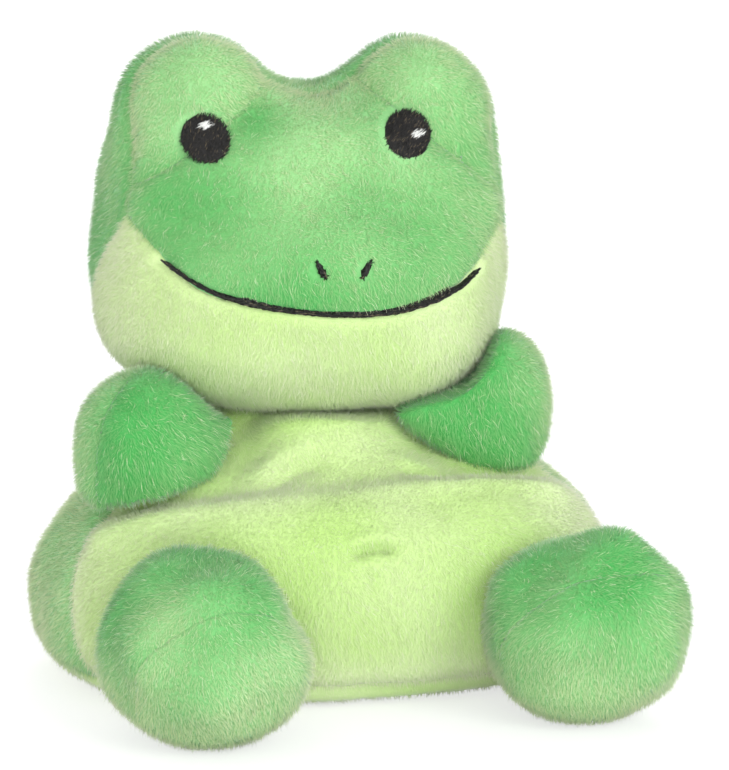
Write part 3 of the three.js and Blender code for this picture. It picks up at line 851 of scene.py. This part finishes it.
def folded(places, fold):
    """How far a fold raises the fabric along its path, and lowers it beside."""
    offset, share = along_path(places, fold["path"])
    across = np.array(fold["side"])
    side = offset @ across
    stray = np.linalg.norm(offset - side[:, None] * across, axis=1)
    ends = ramp(share, 0, fold["fade"]) * ramp(1 - share, 0, fold["fade"])
    rise = sum(height * bell(side - middle, width) for height, middle, width in fold["waves"])
    rise *= 1 - fold.get("calm", 0) * bell(share - CALM_MIDDLE, CALM_REACH)
    return rise * ends * bell(stray, FOLD_STRAY)


def nudged(places, body):
    """Fills a form out or draws it in, each nudge fading with distance from its middle."""
    moved = places.copy()
    for middle, reach, shift in NUDGES.get(body, []):
        moved += near(places, middle, reach)[:, None] * np.array(shift)
    return moved


def drawn_in(mesh, body):
    """How far the seams and the creases round the domes draw the fabric in."""
    seam = read(mesh, "seam")
    drawn = SEAM_DEPTHS.get(body, SEAM_DEPTH) * bell(seam, SEAM_REACH)
    for panel in BODIES[body]:
        if panel.startswith("eye_dome"):
            away = np.maximum(read(mesh, panel), seam)
            high = CREASE_LOW + (1 - CREASE_LOW) * ramp(coordinates(mesh)[:, 2], *DOME_BLEND)
            drawn += CREASE_DEPTH * high * bell(away, CREASE_REACH)
    return drawn * ramp(read(mesh, "clear"), *COVER_REACH)


def body_form(body):
    """A body's fabric, drawn in to the roots of its pile except where another body covers it."""
    panels = BODIES[body]
    others = [panel for other in BODIES if other != body for panel in BODIES[other]]
    mesh = lump([*panels, FILLS[body]], FORM_VOXEL, FORM_SMOOTHING, GAP_COVER)
    places = coordinates(mesh)
    rows = np.array([distances(places, [panel]) for panel in panels])
    for panel, row in zip(panels, rows):
        for middle, reach, amount in SEAM_MOVES.get(panel, []):
            row += amount * near(places, middle, reach)
        store(mesh, panel, row)
    nearest = np.sort(rows, axis=0)
    seam = nearest[1] - nearest[0]
    clear = distances(places, others)
    store(mesh, "seam", seam)
    store(mesh, "clear", clear)
    bare = evened(mesh, ramp(clear, *COVER_REACH))
    places = nudged(places, body)
    place_vertices(mesh, places - normals_of(mesh) * (PILE_DEPTH * bare)[:, None])
    mesh = smoothed(body, mesh, SKIN_SMOOTHING)
    pins = np.clip(PIN_TOP - seam / PIN_REACH, 0, 1)
    if body.startswith("leg"):
        pins *= 1 - SOLE_FREE * ramp(places[:, 2], *SOLE_BLEND)
    place_vertices(mesh, coordinates(mesh) + stuffed(mesh, np.maximum(pins, 1 - bare)))
    mesh = subdivided(body, mesh)
    drawn = drawn_in(mesh, body)
    places = coordinates(mesh)
    for spot in CRUMPLES.get(body, []):
        places = smoothed_out(mesh, places, *spot)
    place_vertices(mesh, places)
    fold = sum((folded(places, fold) for fold in FOLDS.get(body, [])), np.zeros(len(places)))
    store(mesh, "fold", fold)
    lumps = noise_at(places, LUMP_SCALE)
    lumps *= LUMP_DEPTHS[body.split("_")[0]] * ramp(places[:, 2], 0, LUMP_FREE)
    places += normals_of(mesh) * (fold + lumps - drawn)[:, None]
    places[:, 2] = np.maximum(places[:, 2], FLOOR_LIFT)
    place_vertices(mesh, places)
    return mesh


# Panels


def seam_neighbours(corners, labels):
    """For each vertex on a seam, the seam's vertices next to it."""
    sides_of = {}
    for face, ring in enumerate(corners):
        for first, second in zip(ring, np.roll(ring, -1)):
            sides_of.setdefault((min(first, second), max(first, second)), []).append(labels[face])
    found = {}
    for (first, second), pair in sides_of.items():
        if len(pair) == 2 and pair[0] != pair[1]:
            found.setdefault(first, []).append(second)
            found.setdefault(second, []).append(first)
    return found


def straightened(places, neighbours):
    """Takes the steps out of the seams' lines."""
    places = places.copy()
    mid = np.array([v for v, pair in neighbours.items() if len(pair) == 2])
    pairs = np.array([neighbours[v] for v in mid])
    for _ in range(SEAM_ROUNDS):
        places[mid] = places[mid] / 2 + places[pairs].sum(1) / 4
    return places


def sheet_mesh(name, places, corners, values):
    """An open sheet of the given faces, with the values that its vertices carry."""
    used, index = np.unique(corners, return_inverse=True)
    mesh = bpy.data.meshes.new(name)
    mesh.from_pydata(places[used].tolist(), [], index.reshape(corners.shape).tolist())
    for label, value in values.items():
        store(mesh, label, value[used])
    shade_smooth(mesh)
    mesh.update()
    return mesh


def nap_of(places, normals):
    """Which way the pile leans: down the fabric, or forwards where it lies flat, with a slow swirl."""
    noise.seed_set(SWIRL_SEED)
    swirl = np.array([noise.noise_vector(Vector(place) * SWIRL_SCALE) for place in places])
    lean = np.array(NAP_DOWN) + swirl * SWIRL
    lean -= normals * np.sum(lean * normals, axis=1)[:, None]
    return lean / (np.linalg.norm(lean, axis=1)[:, None] + NAP_EVEN)


def patches_of(mesh, body, places):
    """How the pile's paleness changes over a body, whichever panel it is on: random patches, with painted
    light and shade.
    """
    patches = noise_at(places, PATCH_SCALE) * PATCH_SHARE
    # Spots of painted light and painted shade.
    for middle, reach, amount in PAINTED_LIGHT_SPOTS.get(body, []):
        patches += amount * near(places, middle, reach)
    # Painted shade where another body touches, painted highlights on the folds' ridges and a little painted
    # shade in their dips.
    touch_shade = 1 - ramp(read(mesh, "clear"), *CONTACT_SHADE_REACH)
    patches += FOLD_HIGHLIGHT * np.maximum(read(mesh, "fold"), FOLD_SHADE_CAP) - CONTACT_SHADE * touch_shade
    return patches


def panel_paleness(panel, panels, heights, seam):
    """How pale a panel's own pile is painted, for its sheen and the light on it, by its height and how near
    its seams are.
    """
    pale = np.full(len(heights), PANEL_SHEEN_AND_SHADE[panel])
    # A dome keeps less of its painted sheen and light low down beside the crown.
    if panel.startswith("eye_dome"):
        pale -= DOME_DEEPER * (1 - ramp(heights, *DOME_BLEND)) * bell(seam, DOME_REACH)
    # Painted light: the crown is paler towards its top.
    if panel == "crown_panel":
        pale += (heights - CROWN_MIDDLE) * CROWN_RISE
    # A foot's two panels match at their seam, and painted light makes the feet paler downwards.
    if panel.startswith("foot"):
        pair = np.mean([PANEL_SHEEN_AND_SHADE[other] for other in panels])
        soft = ramp(heights, *SOLE_BLEND) * bell(seam, SOLE_REACH)
        pale += (pair - PANEL_SHEEN_AND_SHADE[panel]) * soft + (heights - LEG_MIDDLE) * LEG_RISE
    # Painted sheen beside the belly's seams.
    if panel == "belly_panel":
        pale += RIM_SHEEN * bell(seam, RIM_SHEEN_REACH)
    return pale


def panel_sheets(body, mesh):
    """The form cut along its seams into one sheet for each panel."""
    panels = BODIES[body]
    corners = rows_of(mesh.polygons, "vertices", 4, np.int32)
    reach = np.array([read(mesh, panel) for panel in panels])
    labels = reach[:, corners].mean(2).argmin(0)
    places = straightened(coordinates(mesh), seam_neighbours(corners, labels))
    normals = normals_of(mesh)
    pile = tall = ramp(read(mesh, "clear"), *BARE_REACH)
    if body == "head":
        dense, high = embroidery_clearance(places, normals)
        pile, tall = pile * dense, tall * high
    values = {"nap": nap_of(places, normals) * tall[:, None], "pile": pile, "tall": tall}
    patches = patches_of(mesh, body, places)
    seam = read(mesh, "seam")
    sheets = {}
    for number, panel in enumerate(panels):
        # Each panel's painted sheen, light and shade, over the body's patches.
        pale = panel_paleness(panel, panels, places[:, 2], seam)
        values["pale"] = np.clip(pale + patches, 0, 1)
        sheets[panel] = sheet_mesh(panel, places, corners[labels == number], values)
    return sheets


# Pile


def strand_tree(name, segments):
    """Tapered fibres, rooted all over a sheet, that lean with its nap and bend over at their tips."""
    sizes = {**COATS[name], "Clump Scale": CLUMP_SCALE, "Own Shape": OWN_SHAPE}
    tree, given, made = geometry_group(name, sizes)
    seed = given["Seed"]
    points, up = rooted(tree, given, "pile")
    nap = named(tree, "nap", "FLOAT_VECTOR")
    place = result(tree, "GeometryNodeInputPosition")
    inputs = {"Vector": place, "Scale": given["Clump Scale"], "Detail": 1.0}
    clump = result(tree, "ShaderNodeTexNoise", inputs, "Color")
    clump = scaled(tree, vectors(tree, "SUBTRACT", clump, (0.5, 0.5, 0.5)), given["Clump"])
    aim = vectors(tree, "ADD", up, scaled(tree, nap, given["Lean"]))
    aim = vectors(tree, "ADD", aim, random_vector(tree, given["Jitter"], seed))
    aim = vectors(tree, "ADD", aim, clump)
    # Each fibre's tint: its place's paleness, which carries painted sheen, light and shade, its own share,
    # and for a few the column of a painted highlight.
    own = random_number(tree, given["Tint Low"], given["Tint High"], seed, 1)
    plain = maths(tree, "ADD", named(tree, "pale"), own, clamp=True)
    plain = maths(tree, "MULTIPLY", plain, PLAIN_COLUMNS)
    highlighted = maths(tree, "LESS_THAN", random_number(tree, 0, 1, seed, 2), given["Luck"])
    tint = maths(tree, "MULTIPLY_ADD", highlighted, maths(tree, "SUBTRACT", HIGHLIGHT_COLUMN, plain), plain)
    points = stored(tree, points, "tint", tint)
    for label, value in (("up", up), ("bend", nap), ("aim", aim)):
        points = stored(tree, points, label, value, "FLOAT_VECTOR")

    width = maths(tree, "DIVIDE", given["Width"], 2)
    inputs = {"Vertices": 3, "Side Segments": segments, "Radius Top": 0, "Radius Bottom": width}
    inputs["Depth"] = given["Length"]
    fibre = result(tree, "GeometryNodeMeshCone", inputs, "Mesh", fill_type="NGON")
    x, y, z = split_place(tree)
    fibre = stored(tree, fibre, "along", maths(tree, "DIVIDE", z, given["Length"]))
    aside = maths(tree, "MULTIPLY_ADD", y, COLUMN_SLANT, x)
    fibre = stored(tree, fibre, "aside", maths(tree, "DIVIDE", aside, given["Width"]))

    spin = combined(tree, z=random_number(tree, 0, math.tau, seed, 3))
    turn = result(tree, "FunctionNodeEulerToRotation", {0: spin})
    inputs = {"Rotation": turn, "Vector": named(tree, "aim", "FLOAT_VECTOR")}
    turn = result(tree, "FunctionNodeAlignRotationToVector", inputs, axis="Z")
    size = random_number(tree, *FIBRE_LENGTHS, seed, 4)
    size = combined(tree, 1.0, 1.0, maths(tree, "MULTIPLY", size, named(tree, "tall")))
    fibres = planted(tree, points, fibre, Rotation=turn, Scale=size)
    along = named(tree, "along")
    reach = maths(tree, "MULTIPLY", maths(tree, "MULTIPLY", along, along), given["Bend"])
    reach = maths(tree, "MULTIPLY", reach, given["Length"])
    bent = scaled(tree, named(tree, "bend", "FLOAT_VECTOR"), reach)
    bent = vectors(tree, "ADD", result(tree, "GeometryNodeInputPosition"), bent)
    bent = vectors(tree, "MAXIMUM", bent, (-1.0, -1.0, FLOOR_LIFT))
    fibres = result(tree, "GeometryNodeSetPosition", {"Geometry": fibres, "Position": bent})
    own = scaled(tree, result(tree, "GeometryNodeInputNormal"), given["Own Shape"])
    shown = vectors(tree, "NORMALIZE", vectors(tree, "ADD", named(tree, "up", "FLOAT_VECTOR"), own))
    inputs = {"Mesh": fibres, "Custom Normal": shown}
    fibres = result(tree, "GeometryNodeSetMeshNormal", inputs, mode="FREE", domain="CORNER")
    finish_group(tree, mapped(tree, fibres), given, made)
    return tree


COAT_TREES = {"undercoat": strand_tree("undercoat", 1), "topcoat": strand_tree("topcoat", 2)}


def pile_on(panel, sheet, seed):
    """The two coats of a panel's pile."""
    material = PALE_PILE if panel in PALE_PANELS else LEAF_PILE
    thin = 1
    calm = PILE_CALM.get(panel, 1)
    coats = []
    for number, (coat, tree) in enumerate(COAT_TREES.items()):
        given = {**COATS[coat], "Seed": seed + number}
        given["Density"] = given["Density"] * thin * PILE_SHARES.get(panel, 1)
        given["Length"] *= PILE_LENGTHS.get(panel, PILE_LENGTH)
        given["Width"] /= thin
        given["Clump"] *= calm
        if coat == "topcoat":
            given["Luck"] *= calm
        coats.append(grown(f"{panel}_{coat}", sheet, tree, material, given))
    return coats


# Embroidery


def middle_of(node):
    low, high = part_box(node)
    return (low + high) / 2, (high - low) / 2


def mouth_line():
    """Places [x, z] along the middle of the mouth's line, from the frog's right to its left."""
    mesh = welded(["mouth_line"])
    places = coordinates(mesh)
    ends = np.array([places[list(edge.vertices)] for edge in mesh.edges])
    low, high = places[:, 0].min(), places[:, 0].max()
    line = []
    for x in np.arange(low + MOUTH_ENDS[0], high - MOUTH_ENDS[1], MOUTH_STEP):
        crossing = ends[(ends[:, 0, 0] - x) * (ends[:, 1, 0] - x) < 0]
        share = (x - crossing[:, 0, 0]) / (crossing[:, 1, 0] - crossing[:, 0, 0])
        heights = crossing[:, 0, 2] + share * (crossing[:, 1, 2] - crossing[:, 0, 2])
        line.append((x, (heights.min() + heights.max()) / 2))
    line = np.array(line)
    line[:, 1] -= MOUTH_SAG * bell(line[:, 0] - MOUTH_SAG_AT, MOUTH_SAG_REACH)
    for _ in range(MOUTH_ROUNDS):
        line[1:-1] = line[1:-1] / 2 + (line[:-2] + line[2:]) / 4
    return line


def embroidery_clearance(places, normals):
    """How dense and how tall the pile stands, from 0 where thread covers the face to 1 elsewhere."""
    clear = np.ones(len(places))
    facing = normals[:, 1] < 0
    for kind in ("eye", "nostril"):
        for side in SIDES:
            middle, half = middle_of(f"{kind}_{side}")
            x = (places[:, 0] - middle.x) / (half.x + THREAD_MARGIN)
            z = (places[:, 2] - middle.z) / (half.z + THREAD_MARGIN)
            clear *= ramp(np.where(facing, np.hypot(x, z), FAR), *PATCH_CLEAR)
    away = np.ones(len(places))
    for x, z in mouth_line():
        away = np.minimum(away, np.hypot(places[:, 0] - x, places[:, 2] - z))
    away = np.where(facing, away, 1) - MOUTH_WIDTH / 2
    return clear * ramp(away, 0, THREAD_MARGIN), clear * ramp(away, *MOUTH_MARGIN)


def stitch_tree():
    """Threads laid side by side over a pad, along its grain."""
    tree, given, made = geometry_group("stitches", THREADS["eye"])
    seed = given["Seed"]
    points, up = rooted(tree, given, "stitched")
    stray = random_vector(tree, given["Spread"], seed)
    grain = vectors(tree, "ADD", named(tree, "grain", "FLOAT_VECTOR"), stray)
    # A few threads take their material's painted highlight.
    points = stored(tree, points, "tint", random_number(tree, 0, 1, seed, 1))
    lift = scaled(tree, up, random_number(tree, *THREAD_LIFT, seed, 2))
    points = result(tree, "GeometryNodeSetPosition", {"Geometry": points, "Offset": lift})
    inputs = {"Segments": 4, "Rings": 4, "Radius": 0.5}
    thread = result(tree, "GeometryNodeMeshUVSphere", inputs, "Mesh")
    x, y, z = split_place(tree)
    thread = stored(tree, thread, "along", maths(tree, "ADD", x, 0.5))
    thread = stored(tree, thread, "aside", maths(tree, "MULTIPLY_ADD", y, COLUMN_SLANT, z))
    turn = result(tree, "FunctionNodeAlignRotationToVector", {"Vector": grain}, axis="X")
    inputs = {"Rotation": turn, "Vector": up}
    turn = result(tree, "FunctionNodeAlignRotationToVector", inputs, axis="Z", pivot_axis="X")
    length = maths(tree, "MULTIPLY", given["Length"], random_number(tree, *THREAD_LENGTHS, seed, 3))
    size = combined(tree, length, given["Width"], given["Width"])
    threads = planted(tree, points, thread, Rotation=turn, Scale=size)
    threads = result(tree, "GeometryNodeSetShadeSmooth", {0: threads})
    finish_group(tree, mapped(tree, threads), given, made)
    return tree


STITCHES = stitch_tree()


class Face:
    """The head's fabric at the roots of its pile, met from the front through the pile's outside."""

    def __init__(self):
        nodes = [*BODIES["head"], FILLS["head"]]
        self.surface = surface_of(lump(nodes, FORM_VOXEL, FORM_SMOOTHING))

    def at(self, x, z):
        place, normal, _, _ = self.surface.ray_cast(Vector((x, -1, z)), Vector((0, 1, 0)))
        return place - normal * PILE_DEPTH, normal


def grain_of(mesh, size, grain):
    """The way along the given grain for each vertex, or along the rings, of a size, where there is none."""
    places = coordinates(mesh)
    if grain is not None:
        return np.tile(np.array(grain, float), (len(places), 1))
    rings = places.reshape(-1, size, 3)
    runs = (np.roll(rings, -1, axis=1) - np.roll(rings, 1, axis=1)).reshape(-1, 3)
    return runs / np.linalg.norm(runs, axis=1)[:, None]


def pad_object(name, rows, grain, height):
    """A low closed pad over rows of (place, normal, share of its height), each row a closed ring.

    Its threads lie along the grain, or along the rings where there is none.
    """
    bm = bmesh.new()
    rings = [[bm.verts.new(place + normal * height * share) for place, normal, share in row] for row in rows]
    rings.append([bm.verts.new(place - normal * PAD_SINK) for place, normal, _ in rows[-1]])
    size = len(rings[-1])
    for inner, outer in zip(rings, rings[1:]):
        for i in range(size):
            j = (i + 1) % size
            bm.faces.new([inner[i], outer[i], outer[j], inner[j]])
    bm.faces.new(rings[0])
    bm.faces.new(list(reversed(rings[-1])))
    bmesh.ops.triangulate(bm, faces=[face for face in bm.faces if len(face.verts) > 4])
    bmesh.ops.recalc_face_normals(bm, faces=bm.faces)
    mesh = bpy.data.meshes.new(name)
    bm.to_mesh(mesh)
    bm.free()
    store(mesh, "grain", grain_of(mesh, size, grain))
    stitched = np.ones(len(mesh.vertices))
    stitched[-size:] = 0
    store(mesh, "stitched", stitched)
    shade_smooth(mesh)
    return new_object(name, mesh)


def oval_rows(face, middle, wide, high):
    """Rings over the fabric, from the middle out to an oval's edge."""
    drop, late = OVAL_DROP
    rows = []
    for share in OVAL_SHARES:
        row = []
        for angle in np.arange(OVAL_STEPS) * math.tau / OVAL_STEPS:
            x = middle.x + wide * share * math.cos(angle)
            z = middle.z + high * share * math.sin(angle)
            row.append((*face.at(x, z), 1 - drop * share**late))
        rows.append(row)
    return rows


def ribbon_rows(face, line, width, ends=(1, 1)):
    """Rings round a line on the fabric, as narrow loops from its middle out."""
    drop, late = RIBBON_DROP
    steps = np.gradient(line, axis=0)
    across = np.column_stack([-steps[:, 1], steps[:, 0]])
    across /= np.linalg.norm(across, axis=1)[:, None]
    run = np.linspace(-1, 1, len(line))
    shares = np.linspace(*ends, len(line))
    taper = np.sqrt(np.maximum(1 - np.abs(run) ** RIBBON_TAPER, RIBBON_TIP)) * shares
    rows = []
    for share in RIBBON_SHARES:
        reach = across * (width / 2 * share * taper)[:, None]
        loop = np.vstack([line + reach, (line - reach)[::-1]])
        high = (1 - drop * share**late) * np.sqrt(shares)
        high = np.concatenate([high, high[::-1]])
        rows.append([(*face.at(x, z), rise) for (x, z), rise in zip(loop, high)])
    return rows


def store_bake_map(mesh):
    """A pad's place in the map of its thread's colours: the plain middle of a strand."""
    layer = mesh.uv_layers.new(name="OFBake")
    places = coordinates(mesh)
    for loop in mesh.loops:
        x, _, z = places[loop.vertex_index] % PAD_REPEAT
        layer.data[loop.index].uv = (PAD_PLACE[0] + PAD_SPREAD * x, PAD_PLACE[1] + PAD_SPREAD * z)


def sewn(node, kind, number, rows, grain, height, material):
    """An embroidered patch: a pad and the threads over it, in place of its CAD node."""
    pad = pad_object(f"{node}_pad", rows, grain, height)
    given = {**THREADS[kind], "Seed": THREAD_SEEDS[kind] + number}
    threads = grown(f"{node}_threads", pad, STITCHES, material, given)
    pad.data.materials.append(material)
    store_bake_map(pad.data)
    return [pad, threads]


def embroider(face):
    """The eyes, their glints, the nostrils and the mouth's line."""
    made = {}
    for number, (side, sign) in enumerate(SIDES.items()):
        eye, glint, nostril = f"eye_{side}", f"eye_glint_{side}", f"nostril_{side}"
        middle, half = middle_of(eye)
        middle.x += THREAD_SHIFT
        rows = oval_rows(face, middle, half.x - THREAD_OVERHANG, half.z - THREAD_OVERHANG)
        made[eye] = sewn(eye, "eye", number, rows, EYE_GRAIN, EYE_HEIGHT, BLACK_THREAD)
        middle, half = middle_of(glint)
        wide = half.x - GLINT_OVERHANG * THREAD_OVERHANG
        rows = oval_rows(face, middle, wide, half.z - THREAD_OVERHANG)
        height = EYE_HEIGHT + GLINT_RISE
        made[glint] = sewn(glint, "eye_glint", number, rows, GLINT_GRAIN, height, WHITE_THREAD)
        middle, half = middle_of(nostril)
        middle.x += THREAD_SHIFT
        slant = np.array([sign * half.x * NOSTRIL_SLANT, half.z - THREAD_OVERHANG])
        line = np.array([middle.x, middle.z]) + np.linspace(-1, 1, NOSTRIL_STEPS)[:, None] * slant
        rows = ribbon_rows(face, line, NOSTRIL_WIDTH)
        made[nostril] = sewn(nostril, "nostril", number, rows, None, NOSTRIL_HEIGHT, BLACK_THREAD)
    rows = ribbon_rows(face, mouth_line(), MOUTH_WIDTH, MOUTH_TAPER)
    made["mouth_line"] = sewn("mouth_line", "mouth_line", 0, rows, None, MOUTH_HEIGHT, BLACK_THREAD)
    return made


# Inside


def kept_within(places, form, depth):
    """Moves places that lie less than a depth under a form's surface down to that depth."""
    surface = surface_of(form)
    places = places.copy()
    for index, place in enumerate(places):
        spot, normal, _, _ = surface.find_nearest(Vector(place))
        under = (spot - Vector(place)).dot(normal)
        if under < depth:
            places[index] = Vector(place) - normal * (depth - under)
    return places


def stuffing(node, form, seed):
    """Loose fibre stuffing, drawn in from the fabric, with a tufted surface."""
    mesh = lump([node], STUFFING_VOXEL, STUFFING_SMOOTHING)
    places = kept_within(coordinates(mesh), form, STUFFING_INSET)
    place_vertices(mesh, places)
    reach = TUFT_DEPTH * (noise_at(places, TUFT_SCALE, (seed, 0, 0)) - 1)
    place_vertices(mesh, places + normals_of(mesh) * reach[:, None])
    mesh.name = f"{node}_fibre"
    return new_object(mesh.name, mesh)


def pouch_sheet(node):
    mesh = subdivided(node, welded([node]))
    mesh.name = f"{node}_cloth"
    return new_object(mesh.name, mesh)


def pellet_tree():
    """Beads that fill a closed shape, a little disordered."""
    tree, given, made = geometry_group("pellets", PELLETS_PACKED)
    inputs = {"Mesh": given["Geometry"], "Density": 1.0}
    inputs |= {"Voxel Size": given["Voxel"], "Interior Band Width": given["Band"]}
    volume = result(tree, "GeometryNodeMeshToVolume", inputs, resolution_mode="VOXEL_SIZE")
    inputs = {"Volume": volume, "Spacing": given["Spacing"], "Threshold": PELLET_EDGE}
    points = result(tree, "GeometryNodeDistributePointsInVolume", inputs, mode="DENSITY_GRID")
    stray = random_vector(tree, given["Stray"], given["Seed"])
    points = result(tree, "GeometryNodeSetPosition", {"Geometry": points, "Offset": stray})
    inputs = {"Radius": given["Radius"], "Subdivisions": 2}
    bead = result(tree, "GeometryNodeMeshIcoSphere", inputs, "Mesh")
    finish_group(tree, planted(tree, points, bead), given, made)
    return tree


def pellets():
    held = new_object("pellet_room", welded(["pellet_fill"]))
    beads = grown("pellets", held, pellet_tree(), PELLETS, {"Seed": PELLET_SEED})
    bpy.data.objects.remove(held)
    return beads


# Assembly


def attach(piece, body):
    """Rides the piece on its body, except the torso's belly and back panels and all the limbs' pieces, which
    only have their places baked in.
    """
    if body == "torso" and piece.name.startswith(("belly_panel", "back_panel")):
        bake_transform(piece)
    elif body in ("torso", "head"):
        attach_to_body(piece, body)
    else:
        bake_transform(piece)


def finish_piece(piece, body, nodes=(), material=None):
    if material:
        piece.data.materials.clear()
        piece.data.materials.append(material)
    attach(piece, body)
    if nodes:
        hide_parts(*nodes)


def sew_panels(body, form, seed):
    """The backing and the two coats of each of a body's panels."""
    thickness = {"thickness": BACKING, "offset": -1, "use_rim": True, "use_even_offset": False}
    for panel, mesh in panel_sheets(body, form).items():
        pale = panel in PALE_PANELS
        sheet = new_object(f"{panel}_backing", mesh)
        seed += PANEL_SEEDS
        coats = pile_on(panel, sheet, seed)
        sheet.data = with_modifier(panel, mesh, "SOLIDIFY", **thickness)
        skin = PALE_SKIN if pale else LEAF_SKIN
        finish_piece(sheet, body, [panel], skin)
        for coat in coats:
            finish_piece(coat, body)


def main():
    forms = {body: body_form(body) for body in BODIES}
    for number, (body, form) in enumerate(forms.items()):
        sew_panels(body, form, BODY_SEEDS * (number + 1))
    for node, pieces in embroider(Face()).items():
        for piece in pieces:
            finish_piece(piece, "head", [node] if piece == pieces[0] else ())
    for number, (body, node) in enumerate(FILLS.items()):
        piece = stuffing(node, forms[body], number)
        finish_piece(piece, body, [node], STUFFING)
    for node in ("pouch_top", "pouch_bottom"):
        finish_piece(pouch_sheet(node), "torso", [node], material=POUCH)
    finish_piece(pellets(), "torso", ["pellet_fill"])


# Studio


def camera():
    a, e = PHOTO_AZIMUTH, PHOTO_ELEVATION
    back = Vector((math.sin(a) * math.cos(e), -math.cos(a) * math.cos(e), math.sin(e)))
    right = Vector((math.cos(a), math.sin(a), 0))
    up = back.cross(right)
    across = (PHOTO_SIZE[0] / 2 - ORIGIN_PIXEL[0]) / PIXELS_PER_METRE
    above = (ORIGIN_PIXEL[1] - PHOTO_SIZE[1] / 2) / PIXELS_PER_METRE
    made = new_object("camera", bpy.data.cameras.new("camera"))
    made.data.sensor_width = SENSOR
    made.data.lens = SENSOR * PIXELS_PER_METRE * CAMERA_DISTANCE / PHOTO_SIZE[1]
    made.location = right * across + up * above + back * CAMERA_DISTANCE
    made.rotation_mode = "QUATERNION"
    made.rotation_quaternion = (-back).to_track_quat("-Z", "Y")
    bpy.context.scene.camera = made


def lamp(name, place, target, size, power):
    light = bpy.data.lights.new(name, "AREA")
    light.shape = "DISK"
    light.size = size
    light.energy = power
    made = new_object(name, light)
    made.location = place
    made.rotation_euler = (Vector(target) - Vector(place)).to_track_quat("-Z", "Y").to_euler()


def grey(value):
    return (value, value, value, 1)


def white_where_seen(tree):
    """1 for rays that show the background itself, also in a reflection."""
    path = tree.nodes.new("ShaderNodeLightPath").outputs
    seen = maths(tree, "ADD", path["Is Camera Ray"], path["Is Glossy Ray"], clamp=True)
    return maths(tree, "ADD", seen, path["Is Transmission Ray"], clamp=True)


def studio_floor():
    """A pale floor that shows white, with the frog's shadow kept faint."""
    far = FLOOR_HALF
    mesh = bpy.data.meshes.new("floor")
    mesh.from_pydata([(-far, -far, 0), (far, -far, 0), (far, far, 0), (-far, far, 0)], [], [(0, 1, 2, 3)])
    made = new_object("floor", mesh)
    material, tree, shader = new_material("floor", roughness=0.9, emission_strength=GLOW_STRENGTH)
    seen = white_where_seen(tree)
    shown = blended(tree, seen, grey(FLOOR_PALE), grey(1 - FLOOR_GLOW))
    tree.links.new(shown, shader["Base Color"])
    tree.links.new(blended(tree, seen, grey(0), grey(FLOOR_GLOW)), shader["Emission Color"])
    mesh.materials.append(material)


def studio_world():
    world = bpy.data.worlds.new("studio")
    world.use_nodes = True
    tree = world.node_tree
    plain = tree.nodes["Background"]
    plain.inputs["Color"].default_value = grey(1)
    plain.inputs["Strength"].default_value = WORLD_LIGHT
    white = result(tree, "ShaderNodeBackground", {"Color": grey(1), "Strength": 1.0})
    inputs = {0: white_where_seen(tree), 1: plain.outputs[0], 2: white}
    tree.links.new(result(tree, "ShaderNodeMixShader", inputs), tree.nodes["World Output"].inputs["Surface"])
    bpy.context.scene.world = world


main()
camera()
studio_floor()
studio_world()
bpy.context.scene.view_settings.view_transform = "Standard"
for name, settings in LAMPS.items():
    lamp(name, *settings)
